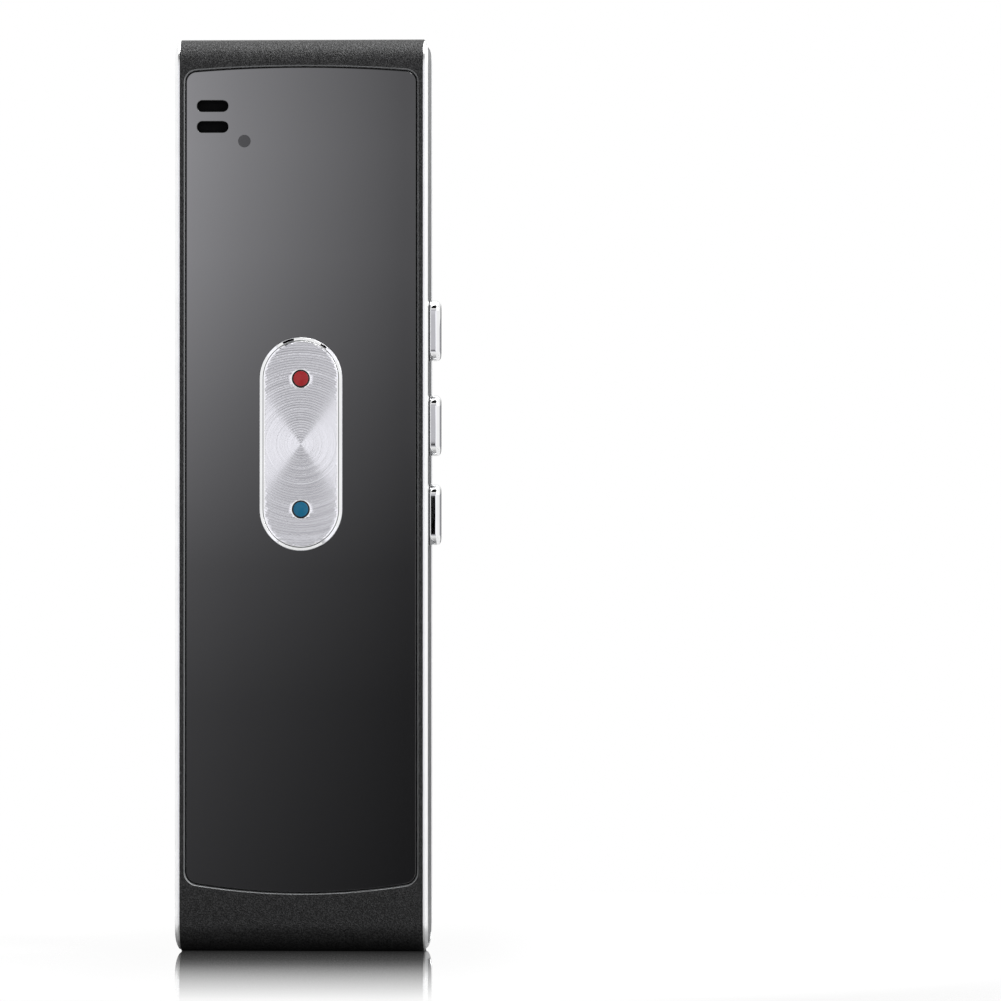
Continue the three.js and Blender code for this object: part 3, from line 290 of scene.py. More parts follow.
class StageValues(bpy.types.PropertyGroup):
    """The studio round the object."""

    fill: FloatProperty(
        name="Fill",
        description="Strength of the even light from all sides",
        default=0.45,
    )
    front_light: FloatProperty(
        name="Front light",
        description="Power of the large lamp at the front right",
        default=7.0,
        unit="POWER",
    )
    top_light: FloatProperty(
        name="Top light",
        description="Power of the large lamp overhead",
        default=22.0,
        unit="POWER",
    )
    card_strength: FloatProperty(
        name="Card strength",
        description="Strength of the graded card behind the camera",
        default=2.27,
    )
    bright_fan: FloatProperty(
        name="Bright fan",
        description="Strength of the card to both sides of the key's reflection",
        default=1.12,
    )
    dull_fan: FloatProperty(
        name="Dull fan",
        description="How much weaker the card is above and below the key's reflection",
        default=0.5,
    )
    floor_tone: FloatProperty(
        name="Floor tone",
        description="Grey level of the pale floor",
        default=0.6,
    )
    side_fade: FloatProperty(
        name="Side fade",
        description="How many times faster the floor's reflection fades towards the sides",
        default=5.0,
    )
    mirror_reach: measure(
        "Mirror reach", "Distance over which the floor's reflection of the object fades", 118 * MM
    )


def values(context):
    return context.scene.translator_looks


# Outlines, each a list of points taken anticlockwise


def arc(centre, radii, start, end, steps):
    points = []
    for step in range(steps + 1):
        angle = start + (end - start) * step / steps
        across = centre[0] + radii[0] * math.cos(angle)
        up = centre[1] + radii[1] * math.sin(angle)
        points.append((across, up))
    return points


def rounded(width, height, radius, centre=(0.0, 0.0), steps=CORNER_STEPS):
    """A rectangle with round or elliptical corners."""
    radii = radius if isinstance(radius, tuple) else (radius, radius)
    across = width / 2 - radii[0]
    up = height / 2 - radii[1]
    corners = ((across, up), (-across, up), (-across, -up), (across, -up))
    points = []
    for quarter, (x, y) in enumerate(corners):
        start = quarter * math.pi / 2
        place = (centre[0] + x, centre[1] + y)
        points += arc(place, radii, start, start + math.pi / 2, steps)
    return points


def stadium(width, height, centre=(0.0, 0.0), steps=HALF_TURN_STEPS):
    """An upright slot with half-round ends."""
    radius = width / 2
    up = (height - width) / 2
    upper = (centre[0], centre[1] + up)
    lower = (centre[0], centre[1] - up)
    points = arc(upper, (radius, radius), 0, math.pi, steps)
    return points + arc(lower, (radius, radius), math.pi, 2 * math.pi, steps)


def circle(radius, centre=(0.0, 0.0), steps=ROUND_STEPS):
    return arc(centre, (radius, radius), 0, 2 * math.pi, steps)[:-1]


def clipped(outline, limit, side):
    """The part of an outline on one side of an upright line: side 1 keeps what is left of it."""
    kept = []
    for i, point in enumerate(outline):
        following = outline[(i + 1) % len(outline)]
        inside = side * point[0] <= side * limit
        if inside:
            kept.append(point)
        if inside != (side * following[0] <= side * limit):
            share = (limit - point[0]) / (following[0] - point[0])
            kept.append((limit, point[1] + share * (following[1] - point[1])))
    return kept


def bowed_end(side, apex, rise, radius, up):
    """One bowed end of the glass, from right to left: up is 1 at the top and -1 at the bottom."""
    bow_start = side - radius
    slope = math.atan(2 * rise * bow_start / side**2)
    centre_up = apex - up * rise * (bow_start / side) ** 2 - up * radius / math.cos(slope)
    turn = math.pi / 2 - slope
    right = arc((bow_start, centre_up), (radius, up * radius), 0, turn, CORNER_STEPS)
    reach = right[-1][0]
    edge = []
    for step in range(1, EDGE_STEPS):
        across = reach - 2 * reach * step / EDGE_STEPS
        edge.append((across, apex - up * rise * (across / side) ** 2))
    left = [(-across, height) for across, height in reversed(right)]
    return right + edge + left


def glass_outline(glass, grow=0.0):
    side = size("front_panel").x / 2 + grow
    top = bowed_end(side, high("front_panel").z + grow, glass.top_rise, glass.top_radius + grow, 1)
    apex = low("front_panel").z - grow
    bottom = bowed_end(side, apex, glass.bottom_rise, glass.bottom_radius + grow, -1)
    return top + list(reversed(bottom))


def profile_outline(radius, inset):
    """The body seen from the side, drawn in by an inset."""
    width = BODY_THICKNESS - 2 * inset
    height = BODY_HEIGHT - 2 * inset
    return rounded(width, height, radius - inset, (0.0, BODY_HEIGHT / 2), PROFILE_STEPS)


def key_outline(key, grow):
    """The outline of the trim ring's visible edge, grown or drawn in."""
    width = size("key_trim_ring").x - 2 * key.ring_flange + 2 * grow
    height = size("key_trim_ring").z - 2 * key.ring_flange + 2 * grow
    return stadium(width, height, (0.0, KEY_HEIGHT))


# Places of drawn points


def front_place(across, up, level):
    return (CENTRE_X + across, -level, up)


def side_place(depth, up, reach):
    return (CENTRE_X + reach, depth, up)


def end_place(across, depth, height):
    return (CENTRE_X + across, depth, height)


def own_place(across, up, level):
    """For a shape that is drawn at the origin and then put elsewhere."""
    return (across, up, level)


# Solids


def made_object(mesh_builder, name="shape"):
    """Turns a bmesh into an object and frees it."""
    mesh = bpy.data.meshes.new(name)
    mesh_builder.to_mesh(mesh)
    mesh_builder.free()
    made = bpy.data.objects.new(name, mesh)
    bpy.context.scene.collection.objects.link(made)
    return made


def loft(layers, place, ring=False):
    """A closed solid through outlines of equal point counts, each with its own level."""
    builder = bmesh.new()
    rows = []
    for outline, level in layers:
        rows.append([builder.verts.new(place(*point, level)) for point in outline])
    count = len(rows[0])
    pairs = list(zip(rows, rows[1:]))
    if ring:
        pairs.append((rows[-1], rows[0]))
    for lower, upper in pairs:
        for i in range(count):
            j = (i + 1) % count
            builder.faces.new((lower[i], lower[j], upper[j], upper[i]))
    if not ring:
        builder.faces.new(tuple(reversed(rows[0])))
        builder.faces.new(tuple(rows[-1]))
    bmesh.ops.remove_doubles(builder, verts=builder.verts, dist=WELD)
    bmesh.ops.recalc_face_normals(builder, faces=builder.faces)
    return made_object(builder)


def prism(outline, start, end, place):
    return loft(((outline, start), (outline, end)), place)


def turned(profile, centre, place=front_place, steps=ROUND_STEPS):
    """A turned solid: the profile holds radius and level pairs, and starts and ends on the axis."""
    builder = bmesh.new()
    rows = []
    for radius, level in profile:
        if radius == 0:
            rows.append([builder.verts.new(place(*centre, level))])
        else:
            points = circle(radius, centre, steps)
            rows.append([builder.verts.new(place(*point, level)) for point in points])
    for lower, upper in zip(rows, rows[1:]):
        for i in range(steps):
            j = (i + 1) % steps
            corners = [lower[i % len(lower)], lower[j % len(lower)]]
            corners += [upper[j % len(upper)], upper[i % len(upper)]]
            builder.faces.new(list(dict.fromkeys(corners)))
    bmesh.ops.recalc_face_normals(builder, faces=builder.faces)
    return made_object(builder)


def disc(radius, start, end, centre, place=front_place, steps=ROUND_STEPS):
    return prism(circle(radius, centre, steps), start, end, place)


def block(across, levels, heights):
    """A block given by its ranges in x, level and z."""
    (x0, x1), (z0, z1) = across, heights
    outline = [(x0, z0), (x1, z0), (x1, z1), (x0, z1)]
    return prism(outline, levels[0], levels[1], front_place)


def stepped(layers, place=front_place):
    """A solid of outlines that change at the same level, given as (outline, start, end)."""
    rows = []
    for outline, start, end in layers:
        rows += [(outline, start), (outline, end)]
    return loft(rows, place)


def discard(made):
    mesh = made.data
    bpy.data.objects.remove(made)
    bpy.data.meshes.remove(mesh)


def joined(parts):
    """Several separate solids as one object."""
    builder = bmesh.new()
    for part in parts:
        builder.from_mesh(part.data)
        discard(part)
    return made_object(builder)


def settle(made):
    """Turns what the modifiers give into the object's own plain mesh."""
    graph = bpy.context.evaluated_depsgraph_get()
    mesh = bpy.data.meshes.new_from_object(
        made.evaluated_get(graph), preserve_all_data_layers=True, depsgraph=graph
    )
    old = made.data
    made.modifiers.clear()
    made.data = mesh
    bpy.data.meshes.remove(old)
    return made


def shaped(base, operation, parts):
    """The base with separate solids cut from it or joined to it."""
    tool = joined(parts)
    modifier = base.modifiers.new("shape", "BOOLEAN")
    modifier.operation = operation
    modifier.solver = "EXACT"
    modifier.object = tool
    settle(base)
    discard(tool)
    return base


def cut(base, *parts):
    return shaped(base, "DIFFERENCE", parts)


def fused(base, *parts):
    return shaped(base, "UNION", parts)


def shade(made):
    """Smooth shading that keeps flat faces flat and edges sharp."""
    builder = bmesh.new()
    builder.from_mesh(made.data)
    bmesh.ops.remove_doubles(builder, verts=builder.verts, dist=WELD)
    builder.to_mesh(made.data)
    builder.free()
    made.data.shade_smooth()
    made.data.set_sharp_from_angle(angle=SMOOTH_ANGLE)
    weighted = made.modifiers.new("normals", "WEIGHTED_NORMAL")
    weighted.keep_sharp = True
    weighted.weight = 100
    return settle(made)


def finished(made, name, finishes, body, nodes=()):
    """Names a piece, gives it its finishes and body, and says which nodes it stands for."""
    made.name = name
    made.data.name = name
    for finish in finishes:
        made.data.materials.append(finish)
    shade(made)
    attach(made, body)
    if nodes:
        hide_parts(*nodes)
    return made


def repaint(made, index, chosen):
    """Gives the faces that a test picks, by centre and normal, another of the piece's finishes."""
    for face in made.data.polygons:
        if chosen(face.center, face.normal):
            face.material_index = index


def harden(made):
    """Keeps the edges between a piece's finishes sharp."""
    builder = bmesh.new()
    builder.from_mesh(made.data)
    for edge in builder.edges:
        if len({face.material_index for face in edge.link_faces}) > 1:
            edge.smooth = False
    builder.to_mesh(made.data)
    builder.free()


# Shader helpers


def add_node(tree, kind, inputs=None, **settings):
    """Adds a node, sets its inputs by name or number, and links the inputs that are sockets."""
    made = tree.nodes.new(kind)
    for key, value in settings.items():
        setattr(made, key, value)
    for key, value in (inputs or {}).items():
        if isinstance(value, bpy.types.NodeSocket):
            tree.links.new(value, made.inputs[key])
        else:
            made.inputs[key].default_value = value
    return made


def new_group(name, inputs, outputs):
    """A shader node group with named sockets, given as (name, kind, default) and (name, kind)."""
    tree = bpy.data.node_groups.new(name, "ShaderNodeTree")
    for label, kind, default in inputs:
        socket = tree.interface.new_socket(name=label, in_out="INPUT", socket_type=kind)
        if default is not None:
            socket.default_value = default
    for label, kind in outputs:
        tree.interface.new_socket(name=label, in_out="OUTPUT", socket_type=kind)
    return tree, tree.nodes.new("NodeGroupInput").outputs, tree.nodes.new("NodeGroupOutput").inputs


FINISH_ENDING = "_finish"
FLOAT = "NodeSocketFloat"
VECTOR = "NodeSocketVector"
COLOUR = "NodeSocketColor"


def maths(tree, operation, first, second=0.0):
    return add_node(tree, "ShaderNodeMath", {0: first, 1: second}, operation=operation).outputs[0]


def vector_maths(tree, operation, first, second=(0.0, 0.0, 0.0)):
    inputs = {0: first, 1: second}
    made = add_node(tree, "ShaderNodeVectorMath", inputs, operation=operation)
    return made.outputs["Value" if operation == "LENGTH" else "Vector"]


def scaled(tree, vector, factor):
    inputs = {0: vector, "Scale": factor}
    return add_node(tree, "ShaderNodeVectorMath", inputs, operation="SCALE").outputs[0]


def scaled_coordinates(tree, coordinates, grain):
    """Object coordinates in grains instead of metres."""
    return scaled(tree, coordinates, maths(tree, "DIVIDE", 1.0, grain))


def axes_of(tree, vector):
    return add_node(tree, "ShaderNodeSeparateXYZ", {0: vector}).outputs


def share_between(tree, value, start, end):
    """How far a value has come from a start to an end, from 0 to 1."""
    inputs = {"Value": value, "From Min": start, "From Max": end}
    return add_node(tree, "ShaderNodeMapRange", inputs).outputs["Result"]


def between(tree, factor, start, end):
    """A value between two others, by a factor."""
    inputs = {"Value": factor, "To Min": start, "To Max": end}
    return add_node(tree, "ShaderNodeMapRange", inputs).outputs["Result"]


def graded(tree, factor, stops):
    """A value that follows a few stops, given as (position, value)."""
    ramp = add_node(tree, "ShaderNodeValToRGB", {0: factor})
    elements = ramp.color_ramp.elements
    elements[0].position, elements[-1].position = stops[0][0], stops[-1][0]
    for position, _ in stops[1:-1]:
        elements.new(position)
    for element, (position, value) in zip(elements, stops):
        element.position = position
        element.color = (value, value, value, 1.0)
    return ramp.outputs[0]


def blended(tree, factor, first, second):
    """A colour between two others, by a factor."""
    inputs = {0: factor, 6: first, 7: second}
    return add_node(tree, "ShaderNodeMix", inputs, data_type="RGBA").outputs[2]


def grain_group():
    """Blasted, moulded and foamed surfaces: a fine grain with single bright specks."""
    tree, given, put = new_group(
        "fine_grain",
        [
            ("Coordinates", VECTOR, None),
            ("Grain Size", FLOAT, 0.2 * MM),
            ("Dark Tone", COLOUR, (0.04, 0.04, 0.04, 1)),
            ("Light Tone", COLOUR, (0.08, 0.08, 0.08, 1)),
            ("Speck Share", FLOAT, 0.3),
            ("Low Roughness", FLOAT, 0.4),
            ("High Roughness", FLOAT, 0.6),
        ],
        [("Color", COLOUR), ("Roughness", FLOAT), ("Height", FLOAT)],
    )
    point = scaled_coordinates(tree, given["Coordinates"], given["Grain Size"])
    soft = add_node(tree, "ShaderNodeTexNoise", {"Vector": point, "Scale": 0.9, "Detail": 2.0})
    cells = add_node(tree, "ShaderNodeTexVoronoi", {"Vector": point, "Scale": 1.0})
    parts = add_node(tree, "ShaderNodeSeparateColor", {0: cells.outputs["Color"]})
    speck = maths(tree, "POWER", parts.outputs[0], 5.0)
    soft_tone = between(tree, soft.outputs[0], -0.6, 1.5)
    speck_tone = maths(tree, "MULTIPLY", speck, given["Speck Share"])
    tone = maths(tree, "ADD", soft_tone, speck_tone)
    tree.links.new(blended(tree, tone, given["Dark Tone"], given["Light Tone"]), put["Color"])
    rough = between(tree, parts.outputs[1], given["Low Roughness"], given["High Roughness"])
    tree.links.new(rough, put["Roughness"])
    height = maths(tree, "ADD", soft.outputs[0], maths(tree, "MULTIPLY", cells.outputs[0], 0.5))
    tree.links.new(height, put["Height"])
    return tree


def marks_group():
    """Faint handling marks on polished surfaces."""
    tree, given, put = new_group(
        "handling_marks",
        [
            ("Coordinates", VECTOR, None),
            ("Mark Size", FLOAT, 6 * MM),
            ("Low Roughness", FLOAT, 0.03),
            ("High Roughness", FLOAT, 0.08),
            ("Clean Tone", COLOUR, (0.5, 0.5, 0.5, 1)),
            ("Marked Tone", COLOUR, (0.45, 0.45, 0.45, 1)),
        ],
        [("Color", COLOUR), ("Roughness", FLOAT), ("Height", FLOAT)],
    )
    point = scaled_coordinates(tree, given["Coordinates"], given["Mark Size"])
    inputs = {"Vector": point, "Scale": 1.0, "Detail": 5.0, "Distortion": 0.6}
    cloud = add_node(tree, "ShaderNodeTexNoise", inputs)
    mask = share_between(tree, cloud.outputs[0], 0.4, 0.7)
    rough = between(tree, mask, given["Low Roughness"], given["High Roughness"])
    tree.links.new(rough, put["Roughness"])
    tree.links.new(blended(tree, mask, given["Clean Tone"], given["Marked Tone"]), put["Color"])
    tree.links.new(cloud.outputs[0], put["Height"])
    return tree


def turning_and_sheen_group():
    """Fine turning lines round a centre, with painted highlights: brighter and darker arcs above
    and below it, and a painted sheen that lightens the colour towards the reach.
    """
    tree, given, put = new_group(
        "turning_lines",
        [
            ("Coordinates", VECTOR, None),
            ("Centre", VECTOR, None),
            ("Pitch", FLOAT, 0.05 * MM),
            ("Reach", FLOAT, 17 * MM),
            ("Dark Tone", COLOUR, (0.6, 0.6, 0.6, 1)),
            ("Light Tone", COLOUR, (0.8, 0.8, 0.8, 1)),
        ],
        [("Color", COLOUR), ("Roughness", FLOAT), ("Height", FLOAT)],
    )
    axes = axes_of(tree, vector_maths(tree, "SUBTRACT", given["Coordinates"], given["Centre"]))
    flat = add_node(tree, "ShaderNodeCombineXYZ", {0: axes[0], 2: axes[2]}).outputs[0]
    away = vector_maths(tree, "LENGTH", flat)
    ring = maths(tree, "DIVIDE", away, given["Pitch"])
    inputs = {"W": ring, "Scale": 1.0, "Detail": 3.0}
    line = add_node(tree, "ShaderNodeTexNoise", inputs, noise_dimensions="1D")
    value = line.outputs[0]
    wave = maths(tree, "SINE", maths(tree, "MULTIPLY", ring, math.tau / LINES_PER_GROOVE))
    # Painted highlights: arcs drawn into the colour above and below the centre, where the spun
    # metal's reflection fans turn dull.
    steep = maths(tree, "DIVIDE", maths(tree, "ABSOLUTE", axes[2]), away)
    painted_sheen_sector = graded(tree, steep, ((0.0, 0.0), (0.76, 0.0), (0.92, 0.3), (1.0, 0.3)))
    arcs = maths(tree, "MULTIPLY", wave, painted_sheen_sector)
    # Painted sheen: the colour grows lighter towards the outer reach, at the top and bottom ends of
    # the key.
    reached = maths(tree, "DIVIDE", away, given["Reach"])
    rise = graded(tree, reached, ((0.0, 0.0), (0.5, 0.0), (1.0, 0.22)))
    tone = maths(tree, "ADD", maths(tree, "ADD", value, arcs), rise)
    tree.links.new(blended(tree, tone, given["Dark Tone"], given["Light Tone"]), put["Color"])
    tree.links.new(between(tree, value, 0.09, 0.16), put["Roughness"])
    tree.links.new(value, put["Height"])
    return tree


def weave_group():
    """A plain weave of round wires or threads."""
    tree, given, put = new_group(
        "plain_weave",
        [
            ("Coordinates", VECTOR, None),
            ("Thread Pitch", FLOAT, 0.12 * MM),
            ("Hollow Tone", COLOUR, (0.001, 0.001, 0.001, 1)),
            ("Thread Tone", COLOUR, (0.02, 0.02, 0.02, 1)),
        ],
        [("Color", COLOUR), ("Roughness", FLOAT), ("Height", FLOAT)],
    )
    turns = maths(tree, "DIVIDE", math.pi, given["Thread Pitch"])
    axes = axes_of(tree, scaled(tree, given["Coordinates"], turns))
    across = maths(tree, "ABSOLUTE", maths(tree, "SINE", axes[0]))
    up = maths(tree, "ABSOLUTE", maths(tree, "SINE", axes[2]))
    height = maths(tree, "MAXIMUM", across, up)
    tree.links.new(blended(tree, height, given["Hollow Tone"], given["Thread Tone"]), put["Color"])
    tree.links.new(between(tree, height, 0.8, 0.5), put["Roughness"])
    tree.links.new(height, put["Height"])
    return tree


def bump(tree, height, distance, strength=1.0):
    inputs = {"Height": height, "Distance": distance, "Strength": strength}
    return add_node(tree, "ShaderNodeBump", inputs).outputs[0]


def four(rgb):
    return (rgb[0], rgb[1], rgb[2], 1.0)


def lighter(rgb, share):
    """A colour made lighter or, below one, darker."""
    return tuple(min(1.0, part * share) for part in rgb[:3])


def new_material(name):
    made = bpy.data.materials.new(name)
    made.use_nodes = True
    return made, made.node_tree


def new_finish(name, group, inputs, shader, height=0.0):
    """A material whose colour, roughness and height come from a group.

    The shader's other inputs are constants, given by name.
    """
    finish, tree = new_material(name + FINISH_ENDING)
    principled = tree.nodes["Principled BSDF"]
    place = add_node(tree, "ShaderNodeTexCoord").outputs["Object"]
    pattern = add_node(tree, "ShaderNodeGroup", {}, node_tree=group)
    tree.links.new(place, pattern.inputs["Coordinates"])
    for key, value in inputs.items():
        pattern.inputs[key].default_value = value
    tree.links.new(pattern.outputs["Color"], principled.inputs["Base Color"])
    tree.links.new(pattern.outputs["Roughness"], principled.inputs["Roughness"])
    if height:
        tree.links.new(bump(tree, pattern.outputs["Height"], height), principled.inputs["Normal"])
    for key, value in shader.items():
        principled.inputs[key].default_value = value
    return finish


def grained(name, groups, rgb, grain, spread, roughness, relief, shader=None, specks=0.3):
    """A finish with a fine grain: spread is how far its tones lie apart.

    Grain and relief are in millimetres.
    """
    inputs = {
        "Grain Size": grain * MM,
        "Dark Tone": four(lighter(rgb, 1 - spread)),
        "Light Tone": four(lighter(rgb, 1 + spread)),
        "Speck Share": specks,
        "Low Roughness": roughness[0],
        "High Roughness": roughness[1],
    }
    return new_finish(name, groups["grain"], inputs, shader or {}, relief * MM)


def polished(name, groups, rgb, roughness, shader, mark_size=5, marked=0.94):
    """A polished finish with faint handling marks, whose size is in millimetres."""
    inputs = {
        "Mark Size": mark_size * MM,
        "Low Roughness": roughness[0],
        "High Roughness": roughness[1],
        "Clean Tone": four(rgb),
        "Marked Tone": four(lighter(rgb, marked)),
    }
    return new_finish(name, groups["marks"], inputs, shader)


def spun_finish(groups, rgb, key):
    # The key's colour carries painted highlights: brighter and darker arcs above and below the
    # centre, and a painted sheen towards the ends.
    inputs = {
        "Centre": middle("rocker_face"),
        "Pitch": key.groove_pitch / LINES_PER_GROOVE,
        "Reach": size("rocker_face")[2] / 2,
        "Dark Tone": four(lighter(rgb, 0.8)),
        "Light Tone": four(lighter(rgb, 1.12)),
    }
    return new_finish("spun_metal", groups["turning"], inputs, {"Metallic": 1.0}, 0.004 * MM)


def woven_finish(groups):
    inputs = {
        "Thread Pitch": 0.11 * MM,
        "Hollow Tone": (0.0008, 0.0008, 0.0009, 1.0),
        "Thread Tone": (0.0015, 0.0015, 0.0018, 1.0),
    }
    dull = {"Specular IOR Level": 0.06}
    return new_finish("black_mesh", groups["weave"], inputs, dull, 0.03 * MM)


def board_finish():
    """Green solder mask over faint copper tracks."""
    finish, tree = new_material("circuit_board" + FINISH_ENDING)
    principled = tree.nodes["Principled BSDF"]
    place = add_node(tree, "ShaderNodeTexCoord").outputs["Object"]
    inputs = {0: place, "Rotation": (math.pi / 2, 0.0, 0.0)}
    turned_place = add_node(tree, "ShaderNodeMapping", inputs).outputs[0]
    inputs = {
        "Vector": turned_place,
        "Scale": 420.0,
        "Color1": (0.006, 0.075, 0.03, 1.0),
        "Color2": (0.01, 0.1, 0.042, 1.0),
        "Mortar": (0.03, 0.17, 0.07, 1.0),
        "Mortar Size": 0.05,
    }
    tracks = add_node(tree, "ShaderNodeTexBrick", inputs)
    tree.links.new(tracks.outputs["Color"], principled.inputs["Base Color"])
    tree.links.new(between(tree, tracks.outputs["Fac"], 0.42, 0.3), principled.inputs["Roughness"])
    tree.links.new(bump(tree, tracks.outputs["Fac"], 0.02 * MM), principled.inputs["Normal"])
    return finish


def make_finishes(looks):
    """Every finish of the object by its slot in the record, with one more for bright edges."""
    groups = {
        "grain": grain_group(),
        "marks": marks_group(),
        "turning": turning_and_sheen_group(),
        "weave": weave_group(),
    }
    colours = looks.colours
    enamel = {"Specular IOR Level": 0.25}
    glass = {"Specular IOR Level": 0.9, "Coat Weight": 1.0, "Coat Roughness": 0.01}
    metal = {"Metallic": 1.0}
    # Colour, grain, spread of the tones, roughness, relief, shader and share of the specks
    grains = {
        "shell_metal": (colours.shell, 0.15, 0.8, (0.34, 0.56), 0.07, metal, 1.5),
        "side_insert": (colours.plate, 0.14, 0.5, (0.35, 0.6), 0.012, metal, 0.9),
        "adhesive": ((0.03, 0.03, 0.03), 0.12, 0.3, (0.7, 0.9), 0.02),
        "dark_plastic": ((0.02, 0.02, 0.022), 0.15, 0.3, (0.45, 0.6), 0.01),
        "pale_plastic": ((0.72, 0.69, 0.6), 0.12, 0.05, (0.42, 0.55), 0.006),
        "black_rubber": ((0.012, 0.012, 0.013), 0.1, 0.4, (0.75, 0.95), 0.02),
        "battery_foil": ((0.5, 0.51, 0.52), 2.5, 0.08, (0.3, 0.42), 0.08, metal),
    }
    # Colour, roughness, shader, size of the marks and how dark they are
    polishes = {
        "bright_edge": ((0.27, 0.275, 0.28), (0.5, 0.6), metal),
        "silver_frame": (colours.silver, (0.3, 0.38), metal),
        "panel_glass": (colours.glass, (0.012, 0.03), glass, 14),
        "smoked_lens": ((0.012, 0.0125, 0.014), (0.04, 0.08), {}),
        "chrome_trim": ((0.88, 0.885, 0.89), (0.012, 0.03), metal),
        "red_enamel": (colours.red, (0.12, 0.2), enamel, 2, 0.86),
        "blue_enamel": (colours.blue, (0.12, 0.2), enamel, 2, 0.86),
        "steel": ((0.5, 0.505, 0.51), (0.2, 0.34), metal, 1.5),
        "red_lead": ((0.42, 0.014, 0.014), (0.35, 0.45), {}, 1),
    }
    finishes = {
        "black_mesh": woven_finish(groups),
        "spun_metal": spun_finish(groups, colours.key, looks.key),
        "circuit_board": board_finish(),
    }
    for name, row in grains.items():
        finishes[name] = grained(name, groups, *row)
    for name, row in polishes.items():
        finishes[name] = polished(name, groups, *row)
    return finishes


# Geometry node helpers


def new_tree(name, inputs):
    """A geometry node tree with a geometry input, named inputs and a geometry output."""
    tree = bpy.data.node_groups.new(name, "GeometryNodeTree")
    tree.interface.new_socket(name="Geometry", in_out="INPUT", socket_type="NodeSocketGeometry")
    for label, kind, default in inputs:
        socket = tree.interface.new_socket(name=label, in_out="INPUT", socket_type=kind)
        if default is not None:
            socket.default_value = default
    tree.interface.new_socket(name="Geometry", in_out="OUTPUT", socket_type="NodeSocketGeometry")
    return tree, tree.nodes.new("NodeGroupInput").outputs, tree.nodes.new("NodeGroupOutput").inputs


def close_tree(tree, geometry, finish, put):
    """Ends a tree in real geometry with its finish."""
    real = add_node(tree, "GeometryNodeRealizeInstances", {0: geometry})
    inputs = {"Geometry": real.outputs[0], "Material": finish}
    painted = add_node(tree, "GeometryNodeSetMaterial", inputs)
    tree.links.new(painted.outputs[0], put["Geometry"])


def grown(tree, base, inputs):
    """The mesh that a tree makes from a base object, with the tree's inputs set by name."""
    modifier = base.modifiers.new("pattern", "NODES")
    modifier.node_group = tree
    for item in tree.interface.items_tree:
        if item.in_out == "INPUT" and item.name in inputs:
            modifier[item.identifier] = inputs[item.name]
    settle(base)
    base.data.materials.clear()
    return base


def points_object(places):
    """An object of loose points, for a tree that puts something on each."""
    builder = bmesh.new()
    for place in places:
        builder.verts.new(place)
    return made_object(builder, "places")


def rim_tree():
    """A turned rim on each point of a square grid, out to a given reach."""
    tree, given, put = new_tree(
        "grille_rims",
        [
            ("Pitch", FLOAT, 2.74 * MM),
            ("Rows", "NodeSocketInt", 10),
            ("Reach", FLOAT, 5.4),
            ("Hole Radius", FLOAT, 0.55 * MM),
            ("Rim Width", FLOAT, 0.1 * MM),
            ("Centre", VECTOR, None),
            ("Finish", "NodeSocketMaterial", None),
        ],
    )
    steps = maths(tree, "SUBTRACT", given["Rows"], 1.0)
    extent = maths(tree, "MULTIPLY", steps, given["Pitch"])
    rows = given["Rows"]
    inputs = {"Size X": extent, "Size Y": extent, "Vertices X": rows, "Vertices Y": rows}
    grid = add_node(tree, "GeometryNodeMeshGrid", inputs)
    away = vector_maths(tree, "LENGTH", add_node(tree, "GeometryNodeInputPosition").outputs[0])
    limit = maths(tree, "MULTIPLY", given["Reach"], given["Pitch"])
    outside = add_node(tree, "FunctionNodeCompare", {0: away, 1: limit}, operation="GREATER_THAN")
    inputs = {"Geometry": grid.outputs["Mesh"], "Selection": outside.outputs[0]}
    kept = add_node(tree, "GeometryNodeDeleteGeometry", inputs, domain="POINT")
    half = maths(tree, "MULTIPLY", given["Rim Width"], 0.5)
    inputs = {"Resolution": HOLE_STEPS, "Radius": maths(tree, "ADD", given["Hole Radius"], half)}
    ring = add_node(tree, "GeometryNodeCurvePrimitiveCircle", inputs)
    section = add_node(tree, "GeometryNodeCurvePrimitiveCircle", {"Resolution": 4, "Radius": half})
    inputs = {"Curve": ring.outputs["Curve"], "Profile Curve": section.outputs["Curve"]}
    rim = add_node(tree, "GeometryNodeCurveToMesh", inputs)
    inputs = {"Points": kept.outputs[0], "Instance": rim.outputs[0]}
    placed = add_node(tree, "GeometryNodeInstanceOnPoints", inputs)
    inputs = {
        "Geometry": placed.outputs[0],
        "Translation": given["Centre"],
        "Rotation": (math.pi / 2, 0.0, 0.0),
    }
    moved = add_node(tree, "GeometryNodeTransform", inputs)
    close_tree(tree, moved.outputs[0], given["Finish"], put)
    return tree


def copies_tree(name):
    """A given object on each point of the mesh, turned all the same way."""
    tree, given, put = new_tree(
        name,
        [
            ("Shape", "NodeSocketObject", None),
            ("Turn", VECTOR, None),
            ("Finish", "NodeSocketMaterial", None),
        ],
    )
    shape = add_node(tree, "GeometryNodeObjectInfo", {"Object": given["Shape"]})
    points = add_node(tree, "GeometryNodeMeshToPoints", {"Mesh": given["Geometry"]})
    turn = add_node(tree, "FunctionNodeEulerToRotation", {0: given["Turn"]})
    inputs = {
        "Points": points.outputs[0],
        "Instance": shape.outputs["Geometry"],
        "Rotation": turn.outputs[0],
    }
    placed = add_node(tree, "GeometryNodeInstanceOnPoints", inputs)
    close_tree(tree, placed.outputs[0], given["Finish"], put)
    return tree


# Operators, one for each piece or group of like pieces


class PieceOperator(bpy.types.Operator):
    """Shared by all the builders: a piece that can't be made stops the script."""

    bl_options = {"REGISTER"}

    def execute(self, context):
        looks = values(context)
        self.build(looks, finishes_of(looks))
        return {"FINISHED"}


